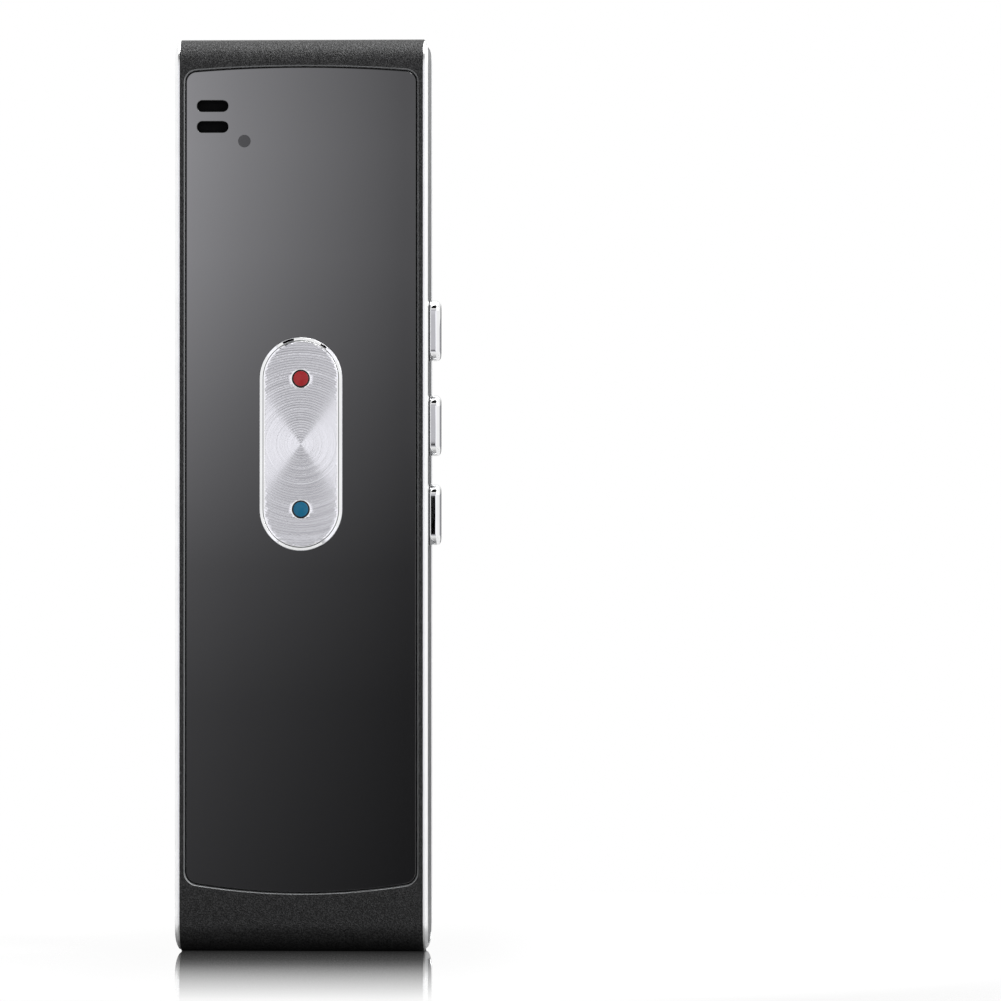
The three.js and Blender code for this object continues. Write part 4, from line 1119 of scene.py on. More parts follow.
def finishes_of(looks):
    """The finishes by name, made on the first call."""
    made = {}
    for finish in bpy.data.materials:
        if finish.name.endswith(FINISH_ENDING):
            made[finish.name.removesuffix(FINISH_ENDING)] = finish
    return made or make_finishes(looks)


class TRANSLATOR_OT_carried_nodes(PieceOperator):
    """Gives every node of the frame the finish of its slot."""

    bl_idname = "translator.carried_nodes"
    bl_label = "Finish the carried nodes"

    def build(self, looks, finishes):
        for part in frame["record"]["subparts"]:
            node = frame["nodes"][part["node"]]
            for holder in node.material_slots:
                holder.material = finishes[part["material_slot"]]


def stepped_screw_hole(node, screw_radius, floor):
    """The bore of a housing screw, with the seat for its head."""
    bore = circle(screw_radius + DROP_GAP, front_centre(node), HOLE_STEPS)
    head = circle(size(node).x / 2 + DROP_GAP, front_centre(node), HOLE_STEPS)
    return stepped(((bore, -OVERRUN, floor), (head, floor, SEAT + OVERRUN)))


def slot_outline(glass, row, grow):
    """One of the two sound slots: row is 1 for the upper and -1 for the lower one."""
    across, up = front_centre("microphone_mesh")
    straight_end = 0.1 * MM
    width = glass.slot_length + 2 * grow
    height = glass.slot_height + 2 * grow
    radius = (height - straight_end) / 2
    return rounded(width, height, radius, (across, up + row * glass.slot_pitch / 2))


def mesh_outline(grow):
    corner = 0.9 * MM
    width = size("microphone_mesh").x + 2 * grow
    height = size("microphone_mesh").z + 2 * grow
    return rounded(width, height, corner, front_centre("microphone_mesh"))


def port_outline(grow):
    """The outline of the charging port, in x and y."""
    corner = 0.8 * MM
    width = size("usb_shell").x + 2 * grow
    depth = size("usb_shell").y + 2 * grow
    return rounded(width, depth, corner + grow, (0.0, middle("usb_shell").y))


def half_shell(housing, parting, side):
    """A hollow housing before its openings: side is 1 for the front one, -1 for the rear one."""
    outline = clipped(profile_outline(housing.end_radius, 0.0), -parting, side)
    shell = prism(outline, -SHELL_SIDE, SHELL_SIDE, side_place)
    front = SEAT - housing.front_wall
    height = BODY_HEIGHT - 2 * housing.end_wall
    centre = (-(front + REAR_INSIDE) / 2, BODY_HEIGHT / 2)
    radius = housing.end_radius - housing.end_wall
    hollow = rounded(front - REAR_INSIDE, height, radius, centre, PROFILE_STEPS)
    inner_side = SHELL_SIDE - housing.side_wall
    return cut(shell, prism(hollow, -inner_side, inner_side, side_place))


class TRANSLATOR_OT_front_shell(PieceOperator):
    """The front housing: the rounded shell, the seat of the glass and all that is moulded in it."""

    bl_idname = "translator.front_shell"
    bl_label = "Front shell"

    def seat_of_the_glass(self, looks):
        gap = looks.housing.panel_gap
        rim = looks.housing.rim_chamfer
        inner = glass_outline(looks.glass, gap)
        outer = glass_outline(looks.glass, gap + rim)
        layers = (
            (inner, SEAT),
            (inner, FRONT_FACE - rim),
            (outer, FRONT_FACE),
            (outer, FRONT_FACE + OVERRUN),
        )
        return loft(layers, front_place)

    def openings(self, looks):
        housing, glass, key = looks.housing, looks.glass, looks.key
        back = SEAT - housing.front_wall - OVERRUN
        top = SEAT + OVERRUN
        rebate = SEAT - FLANGE_DEPTH
        window = key_outline(key, -key.ring_band)
        flange = key_outline(key, key.ring_flange + SLIDE_GAP)
        mesh_centre = front_centre("microphone_mesh")
        mesh_floor = back_level("microphone_mesh") - SEAT_GAP
        port = rounded(SOUND_PORT, SOUND_PORT, SOUND_PORT / 2 - WELD, mesh_centre)
        lens = circle(glass.window_diameter / 2, front_centre("indicator_lens"))
        collar = circle(size("indicator_lens").x / 2 + SLIDE_GAP, front_centre("indicator_lens"))
        parts = [
            stepped(((window, back, rebate), (flange, rebate, top))),
            stepped(((port, back, mesh_floor), (mesh_outline(SLIDE_GAP), mesh_floor, top))),
            stepped(((lens, back, rebate), (collar, rebate, top))),
        ]
        floor = front_level(HOUSING_SCREWS[0]) - HOUSING_HEAD - SEAT_GAP
        for node in HOUSING_SCREWS:
            parts.append(stepped_screw_hole(node, housing.screw_radius, floor))
        start = 1.0 * MM
        for node in BOARD_SCREWS:
            end = front_level(node) + TIP_GAP
            parts.append(
                disc(housing.screw_radius, start, end, front_centre(node), steps=HOLE_STEPS)
            )
        return parts

    def side_wells(self, looks):
        """The wells of the side buttons, each with the hole of its stem."""
        parts = []
        stem_width = STEM_WIDTH + 2 * SLIDE_GAP
        stem_length = STEM_LENGTH + 2 * SLIDE_GAP
        floor = SHELL_SIDE - BUTTON_WELL
        inner = SHELL_SIDE - looks.housing.side_wall - OVERRUN
        for name in BUTTONS:
            node = f"{name}_side_button"
            centre = (0.0, middle(node).z)
            width = size(node).y + 2 * SLIDE_GAP
            length = size(node).z + 2 * SLIDE_GAP
            recess = rounded(width, length, looks.sides.button_radius, centre, SMALL_STEPS)
            stem = rounded(stem_width, stem_length, STEM_CORNER, centre, SMALL_STEPS)
            layers = ((stem, inner, floor), (recess, floor, SHELL_SIDE + OVERRUN))
            parts.append(stepped(layers, side_place))
        return parts

    def moulded_inside(self, looks):
        """The posts of the screws and the two ears of the key's pin."""
        housing = looks.housing
        top = SEAT - housing.front_wall + SEAT_GAP
        board = front_level("main_board")
        parts = []
        for node in HOUSING_SCREWS:
            parts.append(disc(housing.screw_post, SEAT_GAP, top, front_centre(node)))
        for node in BOARD_SCREWS:
            parts.append(disc(housing.board_post, board + SEAT_GAP, top, front_centre(node)))
        pin = size("rocker_pivot_pin")
        ear_start = 3.3 * MM
        ear_wall = 0.4 * MM
        ear_half = 1.5 * MM
        ear_levels = (PIVOT_LEVEL - pin.y / 2 - ear_wall, top)
        ear_heights = (KEY_HEIGHT - ear_half, KEY_HEIGHT + ear_half)
        for side in (-1, 1):
            ends = sorted((side * ear_start, side * (pin.x / 2 + SLIDE_GAP)))
            parts.append(block(ends, ear_levels, ear_heights))
        return parts

    def build(self, looks, finishes):
        housing = looks.housing
        shell = half_shell(housing, PARTING, 1)
        fused(shell, *self.moulded_inside(looks))
        cut(shell, self.seat_of_the_glass(looks))
        cut(shell, *self.openings(looks))
        pin = size("rocker_pivot_pin")
        pin_place = (-PIVOT_LEVEL, KEY_HEIGHT)
        pin_bore = disc(pin.y / 2 + PIN_GAP, -pin.x, pin.x, pin_place, side_place)
        cut(shell, pin_bore, *self.side_wells(looks))
        port_end = housing.end_wall + OVERRUN
        cut(shell, prism(port_outline(SLIDE_GAP), -OVERRUN, port_end, end_place))
        shell.data.materials.clear()
        margin = 0.01 * MM
        rim_top = FRONT_FACE - margin
        rim_bottom = FRONT_FACE - housing.rim_chamfer + margin
        side_reach = SHELL_SIDE - 5 * margin
        made = finished(
            shell,
            "front_shell",
            [finishes["shell_metal"], finishes["bright_edge"]],
            "body",
            ["front_housing"],
        )

        def on_rim(centre, normal):
            across = abs(centre.x - CENTRE_X)
            tilted = 0.5 < -normal.y < 0.9
            return tilted and rim_bottom < -centre.y < rim_top and across < side_reach

        repaint(made, 1, on_rim)


def grille_places(grille):
    """The centres of the holes, in x and z."""
    places = []
    last = (grille.rows - 1) / 2
    for row in range(grille.rows):
        for column in range(grille.rows):
            across = column - last
            up = row - last
            if math.hypot(across, up) < grille.reach:
                places.append((across * grille.pitch, GRILLE_HEIGHT + up * grille.pitch))
    return places


def ring_solid(outer, inner, start, end):
    """A ring between two outlines of equal point counts."""
    layers = ((outer, start), (outer, end), (inner, end), (inner, start))
    return loft(layers, front_place, ring=True)


class TRANSLATOR_OT_rear_shell(PieceOperator):
    """The rear housing with its perforated grille."""

    bl_idname = "translator.rear_shell"
    bl_label = "Rear shell"

    def lip(self, housing):
        """The thin wall that stands up inside the front housing and holds the two in line."""
        inner_side = SHELL_SIDE - housing.side_wall
        thickness = 0.6 * MM

        def outline(inset):
            width = 2 * (inner_side - inset)
            height = BODY_HEIGHT - 2 * (housing.end_wall + inset)
            return rounded(width, height, thickness, (0.0, BODY_HEIGHT / 2), SMALL_STEPS)

        back = front_level("rear_housing") - OVERRUN
        inner = outline(SLIDE_GAP + thickness)
        layers = (
            (outline(-SEAT_GAP), back - OVERRUN),
            (outline(-SEAT_GAP), back),
            (outline(SLIDE_GAP), back),
            (outline(SLIDE_GAP), back + OVERRUN),
            (inner, back + OVERRUN),
            (inner, back - OVERRUN),
        )
        return loft(layers, front_place, ring=True)

    def moulded_inside(self, housing):
        """The collar round the speaker, the four ribs round the battery and the screw posts."""
        start = REAR_INSIDE - SEAT_GAP
        top = REAR_INSIDE + 2.0 * MM
        centre = (0.0, GRILLE_HEIGHT)
        collar = 0.8 * MM
        inner = size("speaker_mesh").x / 2 + DROP_GAP
        parts = [ring_solid(circle(inner + collar, centre), circle(inner, centre), start, top)]
        cell_low, cell_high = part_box("battery")
        wall = 0.7 * MM
        corner = 6.0 * MM
        side = (cell_high.x - cell_low.x) / 2 + DROP_GAP
        above = cell_high.z + DROP_GAP
        below = cell_low.z - DROP_GAP
        heights = (cell_low.z + corner, cell_high.z - corner)
        across = (corner - side, side - corner)
        parts.append(block((side, side + wall), (start, top), heights))
        parts.append(block((-side - wall, -side), (start, top), heights))
        parts.append(block(across, (start, top), (above, above + wall)))
        parts.append(block(across, (start, top), (below - wall, below)))
        for node in HOUSING_SCREWS:
            parts.append(disc(housing.screw_post, start, 0.0, front_centre(node)))
        return parts

    def holes(self, looks):
        """The countersunk holes of the grille and the bores of the housing screws."""
        housing, grille = looks.housing, looks.grille
        face = REAR_FACE + 0.5 * grille.rim_width
        parts = []
        for centre in grille_places(grille):
            bore = circle(grille.hole_radius, centre, HOLE_STEPS)
            mouth = circle(grille.hole_radius + 0.5 * grille.rim_width, centre, HOLE_STEPS)
            layers = (
                (mouth, REAR_FACE - OVERRUN),
                (mouth, REAR_FACE),
                (bore, face),
                (bore, REAR_INSIDE + OVERRUN),
            )
            parts.append(loft(layers, front_place))
        for node in HOUSING_SCREWS:
            tip = back_level(node) - TIP_GAP
            centre = front_centre(node)
            parts.append(disc(housing.screw_radius, tip, OVERRUN, centre, steps=HOLE_STEPS))
        return parts

    def build(self, looks, finishes):
        housing = looks.housing
        seam_gap = 0.05 * MM
        shell = half_shell(housing, PARTING - seam_gap, -1)
        fused(shell, self.lip(housing))
        fused(shell, *self.moulded_inside(housing))
        cut(shell, *self.holes(looks))
        metal = [finishes["shell_metal"]]
        finished(shell, "rear_shell", metal, "body", ["rear_housing"])


class TRANSLATOR_OT_grille_rims(PieceOperator):
    """The bright turned rims of the grille's holes, made by geometry nodes."""

    bl_idname = "translator.grille_rims"
    bl_label = "Grille rims"

    def build(self, looks, finishes):
        grille = looks.grille
        inputs = {
            "Pitch": grille.pitch,
            "Rows": grille.rows,
            "Reach": grille.reach,
            "Hole Radius": grille.hole_radius,
            "Rim Width": grille.rim_width,
            "Centre": (CENTRE_X, -REAR_FACE - 0.5 * grille.rim_width, GRILLE_HEIGHT),
            "Finish": finishes["bright_edge"],
        }
        rims = grown(rim_tree(), points_object([(0.0, 0.0, 0.0)]), inputs)
        finished(rims, "grille_rims", [finishes["bright_edge"]], "body")


class TRANSLATOR_OT_glass(PieceOperator):
    """The glass panel with its polished edges, and what shows through its openings."""

    bl_idname = "translator.glass"
    bl_label = "Glass, mesh and lens"

    def panel(self, looks):
        """The glass with its openings, each with a small polished edge."""
        glass, key = looks.glass, looks.key
        edge = glass.edge_round
        outline = glass_outline(glass)
        smaller = glass_outline(glass, -edge)
        shoulder = FRONT_FACE - edge
        layers = ((outline, PANEL_BACK), (outline, shoulder), (smaller, FRONT_FACE))
        panel = loft(layers, front_place)
        back = PANEL_BACK - OVERRUN
        top = FRONT_FACE + OVERRUN
        fit = 0.05 * MM
        window = glass.window_diameter / 2
        window_edge = edge / 8
        centre = front_centre("indicator_lens")
        openings = [
            (key_outline(key, fit), key_outline(key, fit + edge)),
            (slot_outline(glass, 1, 0.0), slot_outline(glass, 1, edge)),
            (slot_outline(glass, -1, 0.0), slot_outline(glass, -1, edge)),
            (circle(window, centre), circle(window + window_edge, centre)),
        ]
        parts = []
        for inner, outer in openings:
            layers = ((inner, back), (inner, shoulder), (outer, FRONT_FACE), (outer, top))
            parts.append(loft(layers, front_place))
        return cut(panel, *parts)

    def lens(self, glass):
        """A light guide with a collar that the glass holds down."""
        radius = glass.window_diameter / 2 - WELD
        collar = size("indicator_lens").x / 2
        seat = SEAT - FLANGE_DEPTH + SEAT_GAP
        back = back_level("indicator_lens")
        face = front_level("indicator_lens")
        edge = 0.02 * MM
        profile = (
            (0.0, back),
            (radius, back),
            (radius, seat),
            (collar, seat),
            (collar, SEAT),
            (radius, SEAT),
            (radius, face - edge),
            (radius - edge, face),
            (0.0, face),
        )
        return turned(profile, front_centre("indicator_lens"))

    def build(self, looks, finishes):
        back = back_level("microphone_mesh")
        front = front_level("microphone_mesh")
        pieces = (
            (self.panel(looks), "glass_panel", "panel_glass", "front_panel"),
            (
                prism(mesh_outline(0.0), back, front, front_place),
                "sound_mesh",
                "black_mesh",
                "microphone_mesh",
            ),
            (self.lens(looks.glass), "smoked_window", "smoked_lens", "indicator_lens"),
        )
        for made, name, slot, node in pieces:
            finished(made, name, [finishes[slot]], "body", [node])


def round_edge(radius):
    """The steps of a rounded edge, as how far it lies inwards and how far below its top."""
    steps = []
    for step in range(SMALL_STEPS + 1):
        angle = step / SMALL_STEPS * math.pi / 2
        steps.append((radius * (1 - math.cos(angle)), radius * (math.sin(angle) - 1)))
    return steps


def sloping(start, end):
    """The rows of a straight slope, with one close to each end that keeps its reflections flat."""
    return [
        tuple(first + (last - first) * share for first, last in zip(start, end))
        for share in (0.0, 0.06, 0.94, 1.0)
    ]


class TRANSLATOR_OT_trim_ring(PieceOperator):
    """The chromed ring round the key, with its hidden flange."""

    bl_idname = "translator.trim_ring"
    bl_label = "Trim ring"

    def build(self, looks, finishes):
        key = looks.key
        band = key.ring_band
        edge = key.ring_round
        bottom = back_level("key_trim_ring")
        flange_top = PANEL_BACK - SEAT_GAP
        top = front_level("key_trim_ring")
        shoulder = top - (band - 2 * edge) * math.tan(key.ring_slope)
        layers = [
            (key_outline(key, key.ring_flange), bottom),
            (key_outline(key, key.ring_flange), flange_top),
            (key_outline(key, 0.0), flange_top),
        ]
        rows = [(inset, shoulder + height) for inset, height in round_edge(edge)[:-1]]
        rows += sloping((edge, shoulder), (band - edge, top))
        rows += [(band - inset, top + height) for inset, height in reversed(round_edge(edge)[:-1])]
        layers += [(key_outline(key, -inset), level) for inset, level in rows]
        layers.append((key_outline(key, -band), bottom))
        ring = loft(layers, front_place, ring=True)
        chrome = [finishes["chrome_trim"]]
        finished(ring, "trim_ring", chrome, "body", ["key_trim_ring"])


class TRANSLATOR_OT_key(PieceOperator):
    """The spun face of the rocker key with its two enamel dots."""

    bl_idname = "translator.key"
    bl_label = "Rocker key"

    def spun_disc(self, key, top):
        """A turned disc larger than the key, with the grooves that its cutter leaves."""
        steps_per_groove = 6
        radius = size("rocker_face").z / 2 + OVERRUN
        bottom = back_level("rocker_face") - OVERRUN
        profile = [(0.0, bottom), (radius, bottom)]
        steps = int(radius / key.groove_pitch) * steps_per_groove
        for step in range(steps, 0, -1):
            wave = 0.5 - 0.5 * math.cos(2 * math.pi * step / steps_per_groove)
            away = step * key.groove_pitch / steps_per_groove
            profile.append((away, top - key.groove_depth * wave))
        profile.append((0.0, top))
        return turned(profile, (0.0, KEY_HEIGHT), steps=2 * ROUND_STEPS)

    def plate(self, key, top):
        """The key's face: an upright slot shape with a polished sloping edge, cut from the disc."""
        width = size("rocker_face").x
        height = size("rocker_face").z
        edge = 0.04 * MM
        shoulder = top - (key.face_edge - edge) * math.tan(key.ring_slope)

        def outline(inset):
            return stadium(width - 2 * inset, height - 2 * inset, (0.0, KEY_HEIGHT))

        rows = [(0.0, back_level("rocker_face"))]
        rows += [(inset, shoulder + height) for inset, height in round_edge(edge)[:-1]]
        rows += sloping((edge, shoulder), (key.face_edge, top))
        rows.append((key.face_edge, top + OVERRUN))
        layers = [(outline(inset), level) for inset, level in rows]
        return shaped(loft(layers, front_place), "INTERSECT", [self.spun_disc(key, top)])

    def paint(self, plate, key):
        """Marks the polished edge and the bright rims of the holes of the dots, and paints the
        walls of the holes dark as painted shade in the recess.
        """
        radius = size("rocker_face").x / 2
        straight = size("rocker_face").z / 2 - radius
        hole = size("red_dot").x / 2 + key.dot_gap
        centres = [middle(node).z for node in DOTS]

        def on_edge(centre, normal):
            past = max(abs(centre.z - KEY_HEIGHT) - straight, 0.0)
            return math.hypot(centre.x - CENTRE_X, past) > radius - key.face_edge

        def within(place, reach):
            across = place.x - CENTRE_X
            return any(math.hypot(across, place.z - height) < reach for height in centres)

        repaint(plate, 1, on_edge)
        repaint(plate, 1, lambda centre, normal: within(centre, hole + key.dot_rim))
        # Painted shade: the walls of the dot holes get the dark finish, the shadow in each recess.
        repaint(plate, 2, lambda centre, normal: within(centre, hole + WELD))
        harden(plate)

    def build(self, looks, finishes):
        key = looks.key
        top = front_level("rocker_face")
        plate = self.plate(key, top)
        radius = size("red_dot").x / 2 + key.dot_gap
        cutters = []
        for node in DOTS:
            centre = (0.0, middle(node).z)
            hole = circle(radius, centre)
            mouth = circle(radius + key.dot_rim, centre)
            layers = (
                (hole, back_level("rocker_face") - OVERRUN),
                (hole, top - key.dot_rim * math.tan(key.ring_slope) - key.groove_depth),
                (mouth, top),
                (mouth, top + OVERRUN),
            )
            cutters.append(loft(layers, front_place))
        cut(plate, *cutters)
        self.paint(plate, key)
        finished(
            plate,
            "key_face",
            [finishes["spun_metal"], finishes["chrome_trim"], finishes["dark_plastic"]],
            "rocker_key",
            ["rocker_face"],
        )
        for node, slot in zip(DOTS, ("red_enamel", "blue_enamel")):
            dot = self.dot(node, key)
            # Painted shade: the dot's steep rounded edge gets the dark finish, the dark ring where
            # the dot sinks below the face.
            repaint(dot, 1, lambda centre, normal: -normal.y < 0.8)
            harden(dot)
            paints = [finishes[slot], finishes["dark_plastic"]]
            finished(dot, node.replace("dot", "enamel"), paints, "rocker_key", [node])

    def dot(self, node, key):
        """A dot that lies a little below the face, with a rounded edge and a faint crown."""
        radius = size(node).x / 2
        crown = front_level(node)
        dome = 0.04 * MM
        profile = [(0.0, back_level(node)), (radius, back_level(node))]
        for inset, height in round_edge(key.dot_round):
            profile.append((radius - inset, crown - dome + height))
        flat = radius - key.dot_round
        for step in range(1, SMALL_STEPS):
            share = 1 - step / SMALL_STEPS
            profile.append((flat * share, crown - dome * share**2))
        profile.append((0.0, crown))
        return turned(profile, (0.0, middle(node).z))


def end_relief(sides, reach):
    """The space that the side pieces may fill: its ends curve in towards the shell."""
    height = BODY_HEIGHT - 2 * sides.inset
    radii = (reach - SHELL_SIDE, sides.end_relief)
    outline = rounded(2 * reach, height, radii, (0.0, BODY_HEIGHT / 2), PROFILE_STEPS)
    return prism(outline, REAR_FACE - OVERRUN, FRONT_FACE + OVERRUN, front_place)


class TRANSLATOR_OT_side_frames(PieceOperator):
    """The silver frames along both sides, and the speckled plates inside them."""

    bl_idname = "translator.side_frames"
    bl_label = "Side frames and plates"

    def silver_frame(self, looks, side):
        """A frame with a chamfer outside and a rebate behind it for the edge of the plate."""
        sides, radius = looks.sides, looks.housing.end_radius
        seat = SHELL_SIDE + SEAT_GAP
        lip = seat + FRAME_LIP
        opening = sides.inset + sides.band
        rebate = opening - PLATE_TUCK
        edge = 0.06 * MM
        layers = (
            (profile_outline(radius, sides.inset), seat),
            (profile_outline(radius, sides.inset), FRAME_SIDE - sides.chamfer),
            (profile_outline(radius, sides.inset + sides.chamfer), FRAME_SIDE),
            (profile_outline(radius, opening - edge), FRAME_SIDE),
            (profile_outline(radius, opening), FRAME_SIDE - edge),
            (profile_outline(radius, opening), lip),
            (profile_outline(radius, rebate), lip),
            (profile_outline(radius, rebate), seat),
        )
        placed = [(outline, side * level) for outline, level in layers]
        made = loft(placed, side_place, ring=True)
        return shaped(made, "INTERSECT", [end_relief(sides, FRAME_SIDE)])

    def slots(self, sides, top, edge):
        """The openings of the right plate for the side buttons."""
        parts = []
        length = BUTTON_LENGTH + 2 * SLIDE_GAP
        radius = sides.button_radius + SLIDE_GAP
        for name in BUTTONS:
            node = f"{name}_side_button"
            centre = (0.0, middle(node).z)
            width = size(node).y + 2 * SLIDE_GAP
            outline = rounded(width, length, radius, centre)
            mouth = rounded(width + 2 * edge, length + 2 * edge, radius + edge, centre)
            layers = (
                (outline, SHELL_SIDE - OVERRUN),
                (outline, top - edge),
                (mouth, top),
                (mouth, FRAME_SIDE + OVERRUN),
            )
            parts.append(loft(layers, side_place))
        return parts

    def plate(self, looks, side):
        """A plate that lies a little below its frame and reaches under it."""
        sides, radius = looks.sides, looks.housing.end_radius
        seat = SHELL_SIDE + SEAT_GAP
        lip = seat + FRAME_LIP - SEAT_GAP
        face = sides.inset + sides.band + sides.plate_gap
        top = FRAME_SIDE - 0.1 * MM
        edge = 0.08 * MM
        layers = (
            (profile_outline(radius, face - PLATE_TUCK), seat),
            (profile_outline(radius, face - PLATE_TUCK), lip),
            (profile_outline(radius, face), lip),
            (profile_outline(radius, face), top - edge),
            (profile_outline(radius, face + edge), top),
        )
        made = loft([(outline, side * level) for outline, level in layers], side_place)
        shaped(made, "INTERSECT", [end_relief(sides, top)])
        if side > 0:
            cut(made, *self.slots(sides, top, edge))
        return made

    def build(self, looks, finishes):
        pieces = (
            (self.silver_frame, "silver_frame", "silver_frame", "side_frame"),
            (self.plate, "speckled_plate", "side_insert", "side_insert"),
        )
        for side, word in ((-1, "left"), (1, "right")):
            for make, name, slot, node in pieces:
                made = make(looks, side)
                nodes = [f"{word}_{node}"]
                finished(made, f"{word}_{name}", [finishes[slot]], "body", nodes)


class TRANSLATOR_OT_side_buttons(PieceOperator):
    """The three chromed buttons on the right side, each with painted shade at its foot: a dark band
    that stands for the shadow of its slot.
    """

    bl_idname = "translator.side_buttons"
    bl_label = "Side buttons"

    def build(self, looks, finishes):
        sides = looks.sides
        radius = sides.button_radius
        crown = sides.button_crown
        foot = high("right_side_insert").x - CENTRE_X + sides.button_foot
        flange_top = SHELL_SIDE - 0.06 * MM
        flange_back = flange_top - 0.5 * MM
        for name in BUTTONS:
            node = f"{name}_side_button"
            centre = (0.0, middle(node).z)
            width = size(node).y
            stem = rounded(STEM_WIDTH, STEM_LENGTH, STEM_CORNER, centre)
            flange = rounded(width, size(node).z, radius, centre)
            wall = rounded(width, BUTTON_LENGTH, radius, centre)
            layers = [
                (stem, low(node).x - CENTRE_X),
                (stem, flange_back),
                (flange, flange_back),
                (flange, flange_top),
                (wall, flange_top),
                (wall, foot),
                (wall, BUTTON_SIDE - crown - sides.button_support),
            ]
            for step in range(PROFILE_STEPS + 1):
                angle = step / PROFILE_STEPS * math.pi / 2
                inset = crown * (1 - math.cos(angle))
                length = BUTTON_LENGTH - 2 * inset
                outline = rounded(width - 2 * inset, length, radius - inset, centre)
                layers.append((outline, BUTTON_SIDE - crown + crown * math.sin(angle)))
            made = loft(layers, side_place)
            finished(
                made,
                f"{name}_chrome_button",
                [finishes["chrome_trim"], finishes["dark_plastic"]],
                f"{name}_button",
                [node],
            )
            # Painted shade: the faces below the foot line get the dark finish, where the slot's
            # shadow falls.
            repaint(made, 1, lambda centre, normal: centre.x - CENTRE_X < foot)


class TRANSLATOR_OT_port(PieceOperator):
    """The charging port in the bottom end, with its contacts made by geometry nodes."""

    bl_idname = "translator.port"
    bl_label = "Charging port"

    def build(self, looks, finishes):
        wall = 0.3 * MM
        edge = 0.08 * MM
        start = low("usb_shell").z
        end = high("usb_shell").z
        outer = port_outline(0.0)
        inner = port_outline(-wall)
        layers = (
            (outer, start + edge),
            (outer, end),
            (inner, end),
            (inner, start + edge),
            (port_outline(-wall + edge), start),
            (port_outline(-edge), start),
        )
        shell = loft(layers, end_place, ring=True)
        finished(shell, "port_shell", [finishes["steel"]], "body", ["usb_shell"])
        block_height = 1.2 * MM
        width = 3.8 * MM
        thickness = 0.6 * MM
        corner = 0.15 * MM
        back = end - block_height
        centre = (0.0, middle("usb_shell").y)
        block_outline = port_outline(-wall - SEAT_GAP)
        tongue = rounded(width, thickness, corner, centre)
        tip = rounded(width - 2 * edge, thickness - 2 * edge, corner - edge, centre)
        start = low("usb_tongue").z
        layers = (
            (tip, start),
            (tongue, start + edge),
            (tongue, back),
            (block_outline, back),
            (block_outline, end),
        )
        made = loft(layers, end_place)
        plastic = [finishes["dark_plastic"]]
        finished(made, "port_tongue", plastic, "body", ["usb_tongue"])
        self.contacts(finishes, centre[1], thickness / 2, start, back)

    def contacts(self, finishes, depth, half, start, back):
        """Flat contacts on both faces of the tongue, half sunk in it, short of both its ends."""
        pitch = 0.28 * MM
        columns = 12
        first = 0.3 * MM
        last = 0.1 * MM
        outline = rounded(0.16 * MM, 0.06 * MM, 0.02 * MM, steps=SMALL_STEPS)
        shape = prism(outline, 0.0, back - start - first - last, own_place)
        places = []
        for column in range(columns):
            across = (column - (columns - 1) / 2) * pitch
            for side in (-1, 1):
                places.append((CENTRE_X + across, depth + side * half, start + first))
        inputs = {"Shape": shape, "Turn": (0.0, 0.0, 0.0), "Finish": finishes["steel"]}
        pads = grown(copies_tree("port_contacts"), points_object(places), inputs)
        discard(shape)
        finished(pads, "port_contacts", [finishes["steel"]], "body")


class TRANSLATOR_OT_screws(PieceOperator):
    """The screws of the housings and the board, put on their places by geometry nodes."""

    bl_idname = "translator.screws"
    bl_label = "Screws"

    def screw(self, length, head_radius, head_height, shank):
        """A pan-head screw with a turned thread and a six-sided drive, head up, at the origin."""
        turns = 16
        steps = 24
        drive_radius = 0.5 * MM
        drive_depth = 0.35 * MM
        pitch = length / turns
        profile = [(0.0, -length), (0.6 * shank, -length)]
        for turn in range(turns):
            bottom = -length + turn * pitch
            profile += [(0.82 * shank, bottom + 0.25 * pitch), (shank, bottom + 0.6 * pitch)]
        profile += [(shank, 0.0), (head_radius, 0.0)]
        for step in range(SMALL_STEPS + 1):
            angle = step / SMALL_STEPS * math.pi / 2
            height = 0.4 * head_height + 0.6 * head_height * math.sin(angle)
            profile.append((head_radius - 0.3 * head_height * (1 - math.cos(angle)), height))
        profile.append((0.0, head_height))
        made = turned(profile, (0.0, 0.0), own_place, steps)
        hexagon = circle(drive_radius, steps=6)
        drive = prism(hexagon, head_height - drive_depth, head_height + OVERRUN, own_place)
        return shade(cut(made, drive))

    def build(self, looks, finishes):
        # Length, radius and height of the head, and the side that the heads face
        sets = (
            ("housing_screws", HOUSING_SCREWS, 8.1 * MM, 1.3 * MM, HOUSING_HEAD, 1),
            ("board_screws", BOARD_SCREWS, 2.8 * MM, 1.2 * MM, 0.65 * MM, -1),
        )
        tree = copies_tree("screw_places")
        for name, nodes, length, head, height, side in sets:
            shape = self.screw(length, head, height, looks.housing.screw_radius)
            if side > 0:
                places = [(middle(n).x, low(n).y + height, middle(n).z) for n in nodes]
            else:
                places = [(middle(n).x, high(n).y - height, middle(n).z) for n in nodes]
            inputs = {
                "Shape": shape,
                "Turn": (side * math.pi / 2, 0.0, 0.0),
                "Finish": finishes["steel"],
            }
            screws = grown(tree, points_object(places), inputs)
            discard(shape)
            finished(screws, name, [finishes["steel"]], "body", nodes)


# What the stage is made of

CAMERA_PLACE = (75.82 * MM, -1000.0 * MM, 61.54 * MM)
CAMERA_TURN = (math.radians(90.438), 0.0, math.radians(2.657))
CAMERA_LENS = 234.1
CAMERA_SENSOR = 36.0

SHEET_THICKNESS = 2 * MM  # of the floor and the cards
FLOOR_RADIUS = 190 * MM
FLOOR_END = (110 * MM, 178 * MM)  # from here to there the floor fades out
FLOOR_FOOTPRINT = (20 * MM, 2 * MM, 0.0)  # half the width and depth that mirror fully
FLOOR_SHINE = ((0.0, 0.985), (0.18, 0.94), (0.28, 0.875), (1.0, 0.0))
